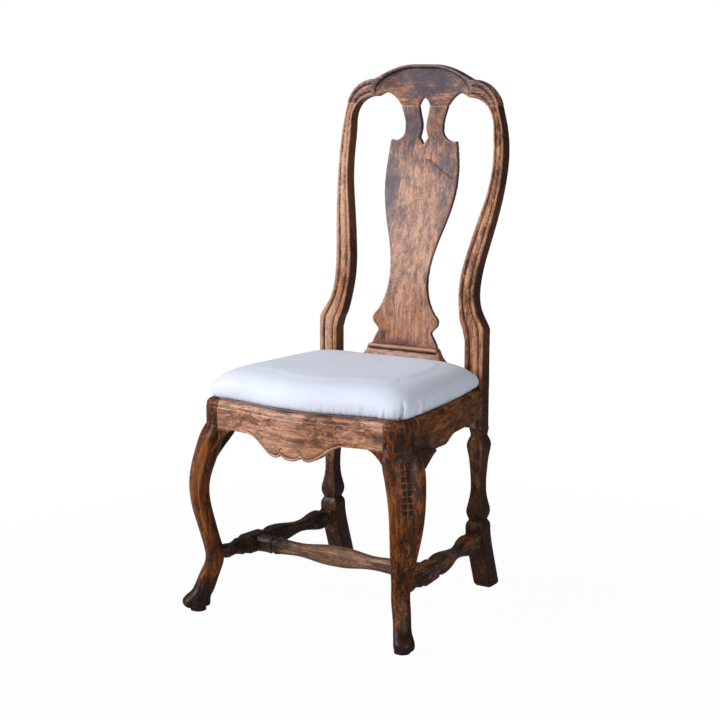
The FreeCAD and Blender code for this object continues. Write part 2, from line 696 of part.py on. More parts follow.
side_prism = extrude("side_prism", sketch("side_plan", FLAT, side_plan(0.0)),
                     Vector(0, 0, 1), "Sizes.quirk_height")
side_saw = extrude("side_saw", sketch("side_view", SIDE_VIEW, side_edge()), Vector(1, 0, 0), f"{FAR}")
side_tenon_x = "Sizes.side_front - 25"
side_tenon = box("side_tenon", "Sizes.tenon_thick", "Sizes.tenon_length", "Sizes.side_tenon_height",
                 side_tenon_x, "-Sizes.side_joint - Sizes.tenon_length", "Sizes.side_tenon_low")
side_socket = box("side_socket", "Sizes.tenon_thick + 2 * Sizes.glue_gap", "Sizes.tenon_length + 1",
                  "Sizes.side_tenon_height + 2 * Sizes.glue_gap", side_tenon_x + " - Sizes.glue_gap",
                  "-Sizes.side_joint - Sizes.tenon_length - 1", "Sizes.side_tenon_low - Sizes.glue_gap")
heel_x = "Sizes.post_outer - 25"
heel_tenon = box("heel_tenon", "Sizes.tenon_thick", "Sizes.tenon_length / 2", "Sizes.heel_tenon_height",
                 heel_x, "Sizes.post_front", "Sizes.heel_tenon_low")
heel_socket = box("heel_socket", "Sizes.tenon_thick + 2 * Sizes.glue_gap", "Sizes.tenon_length / 2 + 1",
                  "Sizes.heel_tenon_height + 2 * Sizes.glue_gap", heel_x + " - Sizes.glue_gap",
                  "Sizes.post_front", "Sizes.heel_tenon_low - Sizes.glue_gap")


# Front leg: a square top let into the rails, and a cabriole of broad, rounded section below it.
def leg_top(inset):
    radius = size("corner_radius")
    out_x, out_y = size("side_front") - inset, -size("front_end") + inset
    bend = radius - inset
    centre = (out_x - bend, out_y + bend)
    middle = (centre[0] + bend * math.sqrt(0.5), centre[1] - bend * math.sqrt(0.5))
    return [line((half_front, side_start), (half_front, out_y)),
            line((half_front, out_y), (centre[0], out_y)),
            arc((centre[0], out_y), middle, (out_x, centre[1])),
            line((out_x, centre[1]), (out_x, side_start)),
            line((out_x, side_start), (half_front, side_start))]


def leg_section(z, x, y, half_width, half_thick):
    """A closed curve: full and broad outward, drawn in toward the back of the leg."""
    form = [(1.0, 0.0), (0.92, 0.55), (0.68, 0.9), (0.3, 1.0), (-0.3, 0.78), (-0.78, 0.45), (-1.0, 0.0),
            (-0.78, -0.45), (-0.3, -0.78), (0.3, -1.0), (0.68, -0.9), (0.92, -0.55)]
    turn = math.sqrt(0.5)
    points = []
    for out, along in form:
        s, t = out * half_thick, along * half_width
        points.append(Vector(x + (s + t) * turn, y + (t - s) * turn, z))
    curve = Part.BSplineCurve()
    curve.interpolate(points, PeriodicFlag=True)
    return Part.Wire([curve.toShape()])


def cabriole():
    """Knee, shin, ankle and toe, with a round pad under the toe."""
    knee_x, knee_y, knee_z = size("knee_out_x"), -size("knee_out_y"), size("knee_height")
    wide, thick = size("knee_half_width"), size("knee_half_thick")
    ankle, ankle_z = size("ankle_half"), size("ankle_height")
    ankle_x, ankle_y = knee_x - 23.5, knee_y + 14.5
    toe_x, toe_y = size("toe_out_x"), -size("toe_out_y")
    shin = knee_z - ankle_z

    def to_toe(share):
        """A place between ankle and toe."""
        return ankle_x + share * (toe_x - ankle_x), ankle_y + share * (toe_y - ankle_y)

    stations = [
        (392.0, knee_x - 35.5, knee_y + 28.0, wide - 6.0, thick - 3.0),
        (365.0, knee_x - 25.0, knee_y + 18.0, wide + 5.0, thick + 1.0),
        (340.0, knee_x - 17.0, knee_y + 14.0, wide + 8.0, thick + 3.0),
        (318.0, knee_x - 11.0, knee_y + 11.0, wide + 6.0, thick + 3.5),
        (295.0, knee_x - 5.5, knee_y + 6.5, wide + 3.5, thick + 2.5),
        (knee_z, knee_x, knee_y, wide, thick),
        (knee_z - 0.26 * shin, knee_x - 3.0, knee_y + 0.5, wide - 3.5, thick - 0.5),
        (knee_z - 0.48 * shin, knee_x - 9.5, knee_y + 5.5, wide - 7.0, thick - 1.0),
        (knee_z - 0.71 * shin, knee_x - 17.0, knee_y + 11.5, ankle + 3.5, ankle + 0.5),
        (ankle_z + 0.12 * shin, ankle_x + 1.0, ankle_y + 0.5, ankle + 1.0, ankle + 0.5),
        (ankle_z, ankle_x, ankle_y, ankle + 0.2, ankle + 0.5),
        (0.78 * ankle_z, *to_toe(0.21), ankle, ankle + 2.0),
        (0.55 * ankle_z, *to_toe(0.46), ankle - 0.8, ankle + 3.0),
        (0.36 * ankle_z, toe_x - 7.0, toe_y + 8.0, ankle, ankle + 5.0),
        (0.22 * ankle_z, toe_x, toe_y, ankle + 2.0, ankle + 9.5),
        (0.13 * ankle_z, toe_x, toe_y, ankle + 1.5, ankle + 9.5),
        (0.08 * ankle_z, toe_x - 1.0, toe_y + 1.0, ankle - 1.0, ankle + 6.0),
    ]
    leg = Part.makeLoft([leg_section(*s) for s in stations], True, False)
    pad = Part.makeCone(ankle - 2.0, ankle - 3.2, 0.12 * ankle_z, Vector(toe_x - 2.0, toe_y + 2.0, 0))
    return leg.fuse(pad)


leg_plan = sketch("leg_plan", FLAT, leg_top(0.0), Vector(0, 0, size("rail_bottom") - 4))
leg_prism = extrude("leg_prism", leg_plan, Vector(0, 0, 1), "Sizes.quirk_height - Sizes.rail_bottom + 4")
leg_carved = feature("leg_carved", cabriole())
# The loft above is kept clear of the rails' shoulders.
front_shoulder = box("front_shoulder", "40", "Sizes.front_end - Sizes.side_joint + 50", "100",
                     "Sizes.front_joint - 40", "-Sizes.front_end - 50", "Sizes.rail_bottom - 0.1")
side_shoulder = box("side_shoulder", "120", "40", "100", "Sizes.front_joint - 40", "-Sizes.side_joint",
                    f"{SIDE_LOW} - 0.1")
leg_trimmed = cut("leg_trimmed", leg_carved, front_shoulder, side_shoulder)
leg_solid = fuse("leg_solid", leg_prism, thumb("leg_thumb", leg_top), leg_trimmed)


# Knee brackets, planted under the rails and scribed to the leg.
def front_bracket_outline():
    low, step = size("rail_bottom"), size("rail_bottom") - 4
    foot = half_front + 18.0
    tip = (half_front - 38.0, low)
    return [line(tip, (half_front, low)), line((half_front, low), (half_front, step)),
            line((half_front, step), (foot, step)), line((foot, step), (foot, low - 56.0)),
            spline([(foot, low - 56.0), (half_front, low - 30.0), (half_front - 17.0, low - 10.0), tip])]


def side_bracket_outline():
    foot = (side_start - 36.0, SIDE_LOW - 74.0)
    tip = (side_start + 71.0, SIDE_LOW)
    return [line(tip, (foot[0], SIDE_LOW)), line((foot[0], SIDE_LOW), foot),
            spline([foot, (side_start - 13.0, SIDE_LOW - 50.0), (side_start + 11.0, SIDE_LOW - 34.0),
                    (side_start + 36.0, SIDE_LOW - 19.0), (side_start + 54.0, SIDE_LOW - 7.0), tip])]


front_bracket_line = sketch("front_bracket_line", FRONT_VIEW, front_bracket_outline(),
                            Vector(0, -size("front_end"), 0))
front_wedge = extrude("front_wedge", front_bracket_line, Vector(0, 1, 0), "0.45 * Sizes.rail_thick")
side_bracket_line = sketch("side_bracket_line", SIDE_VIEW, side_bracket_outline(),
                           Vector(size("side_front") - 8.0, 0, 0))
side_wedge = extrude("side_wedge", side_bracket_line, Vector(1, 0, 0), "0.3 * Sizes.rail_thick")
pair("knee_bracket_front", cut("knee_bracket_front", front_wedge, leg_solid))
pair("knee_bracket_side", cut("knee_bracket_side", side_wedge, leg_solid, front_wedge))


# Glue blocks in the four inside corners of the seat frame.
def side_inner(y):
    """x of the side rail's flat inner face."""
    share = (y - side_start) / (side_end - side_start)
    front_x = side_face(side_start) - size("rail_thick")
    rear_x = side_face(side_end) - size("rail_thick")
    return front_x + (rear_x - front_x) * share


block_run = 66.0
front_corner = chain([(half_front - block_run, front_back), (half_front, front_back),
                      (half_front, side_start), (side_inner(side_start), side_start),
                      (side_inner(side_start + 54), side_start + 54), (half_front - block_run, front_back)])
ledge_front = rail_back - 50.0
rear_corner = chain([(side_inner(ledge_front) - block_run, ledge_front),
                     (side_inner(ledge_front), ledge_front),
                     (side_inner(ledge_front - 56), ledge_front - 56),
                     (side_inner(ledge_front) - block_run, ledge_front)])
for end, outline in (("front", front_corner), ("rear", rear_corner)):
    blank = sketch(f"corner_{end}_plan", FLAT, outline, Vector(0, 0, size("rail_bottom") + 3))
    pair(f"corner_block_{end}", extrude(f"corner_block_{end}", blank, Vector(0, 0, 1),
                                        "Sizes.ledge_height - Sizes.rail_bottom - 8"))


# Pegs that pin the rails' tenons, and the holes that they are driven into.
def peg(name, place, axis, heights):
    """Pegs at several heights, and their holes, along an axis from a place on the leg's face."""
    pins, holes = [], []
    for number, height in enumerate(heights):
        for kind, group in (("peg", pins), ("hole", holes)):
            rod = doc.addObject("Part::Cylinder", f"{name}_{kind}_{number}")
            grow = "" if kind == "peg" else " + Sizes.glue_gap"
            rod.setExpression("Radius", "Sizes.peg_diameter / 2" + grow)
            rod.setExpression("Height", "Sizes.peg_length" + ("" if kind == "peg" else " + 1"))
            rod.Placement = Placement(Vector(place[0], place[1], height), Rotation(Vector(0, 0, 1), axis))
            group.append(rod)
    return pins, holes


mid_tenon = size("tenon_length") / 2
front_pins, front_holes = peg("front_joint", (half_front + mid_tenon, -size("front_end")), Vector(0, 1, 0),
                              (385.0, 402.0))
side_pins, side_holes = peg("side_joint", (size("side_front"), side_start - mid_tenon), Vector(-1, 0, 0),
                            (384.0, 403.0))
heel_pins, heel_holes = peg("heel_joint", (size("post_outer"), size("post_front") + mid_tenon / 2),
                            Vector(-1, 0, 0), (379.0, 394.0))


def peg_node(label, pins):
    """Every peg of one kind of joint, on both sides of the chair."""
    group = doc.addObject("Part::Compound", label)
    group.Links = pins + [mirror(pin.Name + "_left", pin) for pin in pins]
    piece(label, group)


peg_node("front_joint_pegs", front_pins)
peg_node("side_joint_pegs", side_pins)
peg_node("heel_joint_pegs", heel_pins)
left_front_holes = [mirror(hole.Name + "_left", hole) for hole in front_holes]

front_shaped = cut("front_shaped", common("front_sawn", front_prism, front_saw), apron_back)
front_solid = fuse("front_solid", front_shaped, thumb("front_thumb", front_plan), front_tenon,
                   mirror("front_tenon_left", front_tenon))
piece("front_seat_rail", cut("front_seat_rail", front_solid, well, *front_holes, *left_front_holes))
side_solid = fuse("side_solid", common("side_sawn", side_prism, side_saw), thumb("side_thumb", side_plan),
                  side_tenon, heel_tenon)
pair("side_seat_rail", cut("side_seat_rail", side_solid, well, *side_holes, *heel_holes))
rear_tenon_left = mirror("rear_tenon_left", rear_tenon)
piece("rear_seat_rail", fuse("rear_seat_rail", rear_bar, rear_tenon, rear_tenon_left))


# Stretchers: square balusters between blocks, in an H.
def stick_section(at, half, chamfer):
    """A square section with cut corners, across a stick that runs along Y."""
    c = half - chamfer * half
    corners = [(half, -c), (half, c), (c, half), (-c, half),
               (-half, c), (-half, -c), (-c, -half), (c, -half)]
    return wire([(a, at, b) for a, b in corners])


def stick(runs, chamfer):
    """A carved stick: smooth runs that meet in crisp lines."""
    parts = []
    for run in runs:
        parts.append(Part.makeLoft([stick_section(at, half, chamfer) for at, half in run], True, False))
    return parts[0].multiFuse(parts[1:])


height = size("stretcher_height")
full = size("stretcher_size") / 2
leg_end = Vector(size("knee_out_x") - 23.0, -size("knee_out_y") + 15.0, height)
heel_end = Vector(size("post_outer") - size("post_width") / 2 + 3,
                  size("post_front") + size("post_depth") / 2 + 8 - size("rear_leg_size") / 2, height)
run_length = (heel_end - leg_end).Length
aim = Rotation(Vector(0, 1, 0), heel_end - leg_end)
block_mid = (size("medial_y") - leg_end.y) / (heel_end.y - leg_end.y) * run_length
block_half = 27.0
low_end, high_end = block_mid - block_half, block_mid + block_half
rest = run_length - high_end
ring_form = [(0.0, full - 4.5), (3.0, full - 0.5), (7.0, full - 1.0), (10.0, full - 4.5)]
side_runs = [
    [(0.0, 9.0), (16.0, 9.0), (low_end - 45.0, 11.5), (low_end - 22.0, full - 2.5),
     (low_end - 15.0, full - 1.5), (low_end - 10.0, full - 4.5)],
    [(low_end - at, half) for at, half in ring_form[::-1]],
    [(low_end, full + 1.5), (high_end, full + 1.5)],
    [(high_end + at, half) for at, half in ring_form],
    [(high_end + 10.0, full - 4.5), (high_end + 20.0, full - 0.5), (high_end + 0.2 * rest, full + 1.0),
     (high_end + 0.38 * rest, full - 3.0), (high_end + 0.54 * rest, 10.5), (high_end + 0.65 * rest, 12.5),
     (high_end + 0.76 * rest, full), (high_end + 0.84 * rest, full + 1.0),
     (high_end + 0.91 * rest, full - 2.0), (run_length - 16.0, 11.5)],
    [(run_length - 16.0, 11.5), (run_length - 11.0, 16.0), (run_length + 4.0, 16.0)],
]
stick_place = Placement(leg_end, aim)
stick_blank = feature("stick_blank", stick(side_runs, 0.3))
stick_blank.Placement = stick_place
tongue = 14.0


def stick_tenon(name, start, length, grow):
    """A tenon on the stretcher's line, or its mortise when it is grown."""
    block = doc.addObject("Part::Box", name)
    block.setExpression("Length", f"Sizes.tenon_thick + {2 * grow}")
    block.setExpression("Height", f"{tongue} + {2 * grow}")
    block.Width = length
    corner = Vector(-size("tenon_thick") / 2 - grow, start, -tongue / 2 - grow)
    block.Placement = stick_place.multiply(Placement(corner, Rotation()))
    return block


gap = size("glue_gap")
toe_tenon = stick_tenon("toe_tenon", 3.0, 30.0, 0.0)
toe_socket = stick_tenon("toe_socket", 2.0, 31.0, gap)
heel_stick_tenon = stick_tenon("heel_stick_tenon", run_length - 20.0, 38.0, 0.0)
heel_stick_socket = stick_tenon("heel_stick_socket", run_length - 1.0, 20.0, gap)
medial_place = Placement(Vector(0, size("medial_y"), height), Rotation(Vector(0, 0, 1), -90))
half_span = leg_end.x + (heel_end.x - leg_end.x) * block_mid / run_length
reach = half_span - full - 1.5
bar_half = [(0.0, full + 1.5), (0.2 * reach, full), (0.4 * reach, full - 4.0), (0.54 * reach, 12.5),
            (0.65 * reach, 13.5), (0.75 * reach, full - 1.3), (reach - 41.0, full - 1.0), (reach - 35.0, 9.5)]
bar_neck = [(reach - 35.0, 9.5), (reach - 31.0, full - 0.5)]
bar_reel = [(reach - 31.0, full - 0.5), (reach - 16.0, full - 1.5), (reach + 6.0, full - 0.5)]
bar_runs = [[(-at, half) for at, half in bar_reel[::-1]], [(-at, half) for at, half in bar_neck[::-1]],
            [(-at, half) for at, half in bar_half[::-1]] + bar_half[1:], bar_neck, bar_reel]
bar_blank = feature("bar_blank", stick(bar_runs, 0.42))
bar_blank.Placement = medial_place
bar_tenon = box("bar_tenon", f"2 * {half_span - 4.0}", "Sizes.tenon_thick", f"{tongue}",
                f"{4.0 - half_span}", "Sizes.medial_y - Sizes.tenon_thick / 2",
                f"Sizes.stretcher_height - {tongue / 2}")
bar_socket = box("bar_socket", "2 * " + f"{half_span - 3.0}", "Sizes.tenon_thick + 2 * Sizes.glue_gap",
                 f"{tongue} + 2 * Sizes.glue_gap", f"{3.0 - half_span}",
                 "Sizes.medial_y - Sizes.tenon_thick / 2 - Sizes.glue_gap",
                 f"Sizes.stretcher_height - {tongue / 2} - Sizes.glue_gap")
stick_scribed = cut("stick_scribed", stick_blank, leg_solid, post_blank)
stick_plain = fuse("stick_plain", stick_scribed, toe_tenon, heel_stick_tenon)
pair("side_stretcher", cut("side_stretcher", stick_plain, bar_socket))
bar_scribed = cut("bar_scribed", bar_blank, stick_plain, mirror("stick_plain_left", stick_plain))
piece("medial_stretcher", fuse("medial_stretcher", bar_scribed, bar_tenon))

pair("front_leg", cut("front_leg", leg_solid, well, front_socket, side_socket, toe_socket, *front_holes,
                      *side_holes))
pair("rear_post", cut("rear_post", fuse("post_tenoned", post_blank, post_tenon), rear_socket, heel_socket,
                      heel_stick_socket, *heel_holes))

# Drop-in seat: a lapped frame, webbing, hessian, stuffing and the cover drawn over them.
edge = size("rim_width") + size("seat_clear")
skin = size("cover_thick")
frame_low = ledge + skin + gap
frame_high = frame_low + size("frame_thick")
crown = size("seat_crown")
SWELL = 0.4                     # share of the dome's height at which it is widest
DOME_STEPS = 12


def dome():
    """Shares of the dome's height and of its plan, from the rim to the crown."""
    steps = [(0.0, 0.972), (0.2 * SWELL, 0.992), (0.5 * SWELL, 1.0)]
    for step in range(DOME_STEPS):
        turn = math.radians(86.0 * step / (DOME_STEPS - 1))
        steps.append((SWELL + (1 - SWELL) * math.sin(turn) / math.sin(math.radians(86.0)),
                      math.cos(turn) ** 0.32))
    return steps


def cushion(inset, low, drop):
    """Upright inside the rim, swelling out over it, and domed up to a crown."""
    foot = size("seat_rim") + size("seat_lift") + drop
    rise = crown - drop - foot
    upright = [plan_wire(seat_outline(edge + inset), z) for z in (low, foot + SWELL * rise)]
    bulge = edge + inset - size("seat_bulge")
    middle = Vector(0, -0.24 * size("front_end"), 0)
    swell = []
    for share, scale in dome():
        loop = plan_wire(seat_outline(bulge), 0.0)
        loop.scale(scale, middle)
        loop.translate(Vector(0, 0, foot + rise * share))
        swell.append(loop)
    return Part.makeLoft(upright, True, True).fuse(Part.makeLoft(swell, True, True))


cover_outside = feature("cover_outside", cushion(0.0, ledge, 0.0))
cover_inside = feature("cover_inside", cushion(skin, ledge + skin, skin))
hem_line = chain([(-172.0, -172.0), (172.0, -172.0), (150.0, 106.0), (-150.0, 106.0), (-172.0, -172.0)])
hem_opening = extrude("hem_opening", sketch("hem_plan", FLAT, hem_line, Vector(0, 0, ledge - 5)),
                      Vector(0, 0, 1), "Sizes.cover_thick + 8")
piece("seat_cover", cut("seat_cover", cover_outside, cover_inside, hem_opening))
strap_low = frame_high
hessian_low = strap_low + 2 * size("strap_thick")
stuffing_low = hessian_low + size("hessian_thick") + 0.3
stuffing_form = feature("stuffing_form", cushion(skin + 0.4, ledge + 5, skin + 0.6))
stuffing_floor = box("stuffing_floor", "600", "600", f"{stuffing_low} - 300", "-300", "-300", "300")
piece("seat_stuffing", cut("seat_stuffing", stuffing_form, stuffing_floor))
frame_plan = sketch("frame_plan", FLAT, seat_outline(edge + skin + 0.4), Vector(0, 0, frame_low))
hole_front, hole_rear, hole_wide, hole_narrow = -165.0, 92.0, 165.0, 140.0
hole_line = chain([(-hole_wide, hole_front), (hole_wide, hole_front), (hole_narrow, hole_rear),
                   (-hole_narrow, hole_rear), (-hole_wide, hole_front)])
hole_plan = sketch("hole_plan", FLAT, hole_line, Vector(0, 0, frame_low - 1))
ring = cut("frame_ring", extrude("frame_blank", frame_plan, Vector(0, 0, 1), "Sizes.frame_thick"),
           extrude("frame_hole", hole_plan, Vector(0, 0, 1), "Sizes.frame_thick + 2"))
lap_z = f"{frame_low} + Sizes.frame_thick / 2"
front_zone = box("front_zone", "600", "200", "60", "-300", f"{hole_front - 200}", f"{frame_low - 5}")
rear_zone = box("rear_zone", "600", "200", "60", "-300", f"{hole_rear}", f"{frame_low - 5}")
front_lap = box("front_lap", "200", "200", "60", f"{hole_wide}", f"{hole_front - 200}", lap_z)
rear_lap = box("rear_lap", "200", "200", "60", f"{hole_narrow}", f"{hole_rear}", lap_z)
right_zone = box("right_zone", "300", "600", "60", "0", "-300", f"{frame_low - 5}")
piece("seat_frame_front", cut("seat_frame_front", common("frame_front", ring, front_zone), front_lap,
                              mirror("front_lap_left", front_lap)))
piece("seat_frame_rear", cut("seat_frame_rear", common("frame_rear", ring, rear_zone), rear_lap,
                             mirror("rear_lap_left", rear_lap)))
pair("seat_frame", cut("seat_frame_side", common("frame_right", ring, right_zone),
                       pieces["seat_frame_front"], pieces["seat_frame_rear"]))
straps = []
for number, at in enumerate((-125.0, -40.0, 45.0)):
    end = 175.0 - number * 5.0
    straps.append(box(f"cross_strap_{number}", f"2 * {end}", "Sizes.strap_width", "Sizes.strap_thick",
                      f"-{end}", f"{at} - Sizes.strap_width / 2", f"{strap_low}"))
for number, at in enumerate((-92.0, 0.0, 92.0)):
    straps.append(box(f"long_strap_{number}", "Sizes.strap_width", "318", "Sizes.strap_thick",
                      f"{at} - Sizes.strap_width / 2", "-200", f"{strap_low} + Sizes.strap_thick"))
piece("webbing_straps", fuse("webbing_straps", *straps))
hessian_plan = sketch("hessian_plan", FLAT, seat_outline(edge + skin + 1.0), Vector(0, 0, hessian_low))
piece("hessian_base", extrude("hessian_base", hessian_plan, Vector(0, 0, 1), "Sizes.hessian_thick"))

doc.recompute()
for obj in doc.Objects:
    if "Invalid" in obj.State or "Error" in obj.State:
        raise RuntimeError(f"{obj.Label} did not build: {obj.State}")
os.makedirs("parts", exist_ok=True)
whole = None
for label, obj in pieces.items():
    shape = obj.Shape
    if shape.isNull() or not shape.isValid() or not shape.Solids:
        raise RuntimeError(f"{label} is not a valid solid")
    shape.exportStep(f"parts/{label}.step")
    whole = shape.BoundBox if whole is None else whole.united(shape.BoundBox)
    print(label, len(shape.Solids), round(shape.Volume / 1000, 1))
print(len(pieces), "pieces", whole)
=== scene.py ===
"""A worn rococo side chair with a white muslin drop-in seat, dressed for a plain studio."""

import logging
import math
from dataclasses import dataclass
from enum import Enum
from functools import cache, partial
from typing import Callable, Sequence

import bpy
import numpy as np
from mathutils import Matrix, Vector


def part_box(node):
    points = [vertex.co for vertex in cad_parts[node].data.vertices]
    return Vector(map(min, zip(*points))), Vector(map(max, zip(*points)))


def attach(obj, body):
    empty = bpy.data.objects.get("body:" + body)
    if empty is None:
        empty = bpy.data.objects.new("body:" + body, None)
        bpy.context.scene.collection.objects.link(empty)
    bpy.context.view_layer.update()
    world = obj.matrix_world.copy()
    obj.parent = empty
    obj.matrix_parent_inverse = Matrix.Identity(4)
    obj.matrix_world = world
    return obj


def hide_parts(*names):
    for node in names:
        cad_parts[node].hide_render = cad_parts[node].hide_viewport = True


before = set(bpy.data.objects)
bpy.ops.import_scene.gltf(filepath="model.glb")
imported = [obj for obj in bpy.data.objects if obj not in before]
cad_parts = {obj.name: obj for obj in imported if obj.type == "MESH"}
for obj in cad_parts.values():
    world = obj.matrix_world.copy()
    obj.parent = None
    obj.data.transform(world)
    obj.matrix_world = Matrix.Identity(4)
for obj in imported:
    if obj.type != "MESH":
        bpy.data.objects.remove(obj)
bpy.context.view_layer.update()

LOG = logging.getLogger("chair")
MM = 0.001
PER_METRE = 1000.0
WELD = 0.01 * MM
SMOOTH_ANGLE = math.radians(35)
DIAGONAL = math.sqrt(0.5)
# The wave texture runs through this many radians in one unit of its scale.
WAVE_TURN = 20.0
Pair = tuple[float, float]
Point = tuple[float, float, float]
Piece = bpy.types.Object
Array = np.ndarray
Cut = Callable[[Array, Array], Array]
Move = Callable[[Array], Array]
Add = Callable[..., object]


class Grain(Enum):
    """The way the grain runs in a piece, as the turn that brings it upright."""

    UPRIGHT = (0.0, 0.0, 0.0)
    ACROSS = (0.0, math.pi / 2, 0.0)
    FORE_AFT = (math.pi / 2, 0.0, 0.0)


class Side(Enum):
    """The left and right of the chair, as the sign of x."""

    LEFT = -1.0
    RIGHT = 1.0

    @property
    def word(self) -> str:
        """The side's word in a piece's name."""
        return self.name.lower()


class Body(Enum):
    """The two parts of the chair that move apart."""

    FRAME = "frame"
    SEAT = "seat"


def paint(code: str) -> tuple[float, float, float, float]:
    """Turn an sRGB code such as "#a07355" into the linear colour and alpha that a shader takes."""
    shares = [int(code[at:at + 2], 16) / 255 for at in (1, 3, 5)]
    return (*(s / 12.92 if s <= 0.04045 else ((s + 0.055) / 1.055) ** 2.4 for s in shares), 1.0)


def add_node(tree: bpy.types.NodeTree, kind: str, settings: dict, out: object = 0) -> object:
    """Add one shader node, with its settings and the links that come into it.

    Args:
        tree: The node tree.
        kind: The node's type name after its common beginning.
        settings: Values of the node's own fields, and of its sockets by name or number; a socket
            given as a value is linked.
        out: The name or number of the wanted output.

    Returns:
        The wanted output, or None for a node that has no outputs.
    """
    node = tree.nodes.new(f"ShaderNode{kind}")
    for name, value in settings.items():
        if isinstance(value, bpy.types.NodeSocket):
            tree.links.new(value, node.inputs[name])
        elif isinstance(name, str) and hasattr(node, name):
            setattr(node, name, value)
        else:
            node.inputs[name].default_value = value
    return node.outputs[out] if len(node.outputs) else None


def blank_material(name: str) -> tuple[bpy.types.Material, Add]:
    """Make an empty material.

    Args:
        name: The material's name.

    Returns:
        The material, and the function that adds a node to it.
    """
    material = bpy.data.materials.new(name)
    material.use_nodes = True
    material.node_tree.nodes.clear()
    return material, partial(add_node, material.node_tree)


def weigh(add: Add, values: dict, weights: dict[str, float]) -> object:
    """Add up named values, each by its weight.

    Args:
        add: The function that adds a node.
        values: The outputs by name.
        weights: The weights by name.

    Returns:
        The output that holds the sum.
    """
    total = 0.0
    for name, weight in weights.items():
        total = add("Math", {"operation": "MULTIPLY_ADD", 0: values[name], 1: weight, 2: total})
    return total


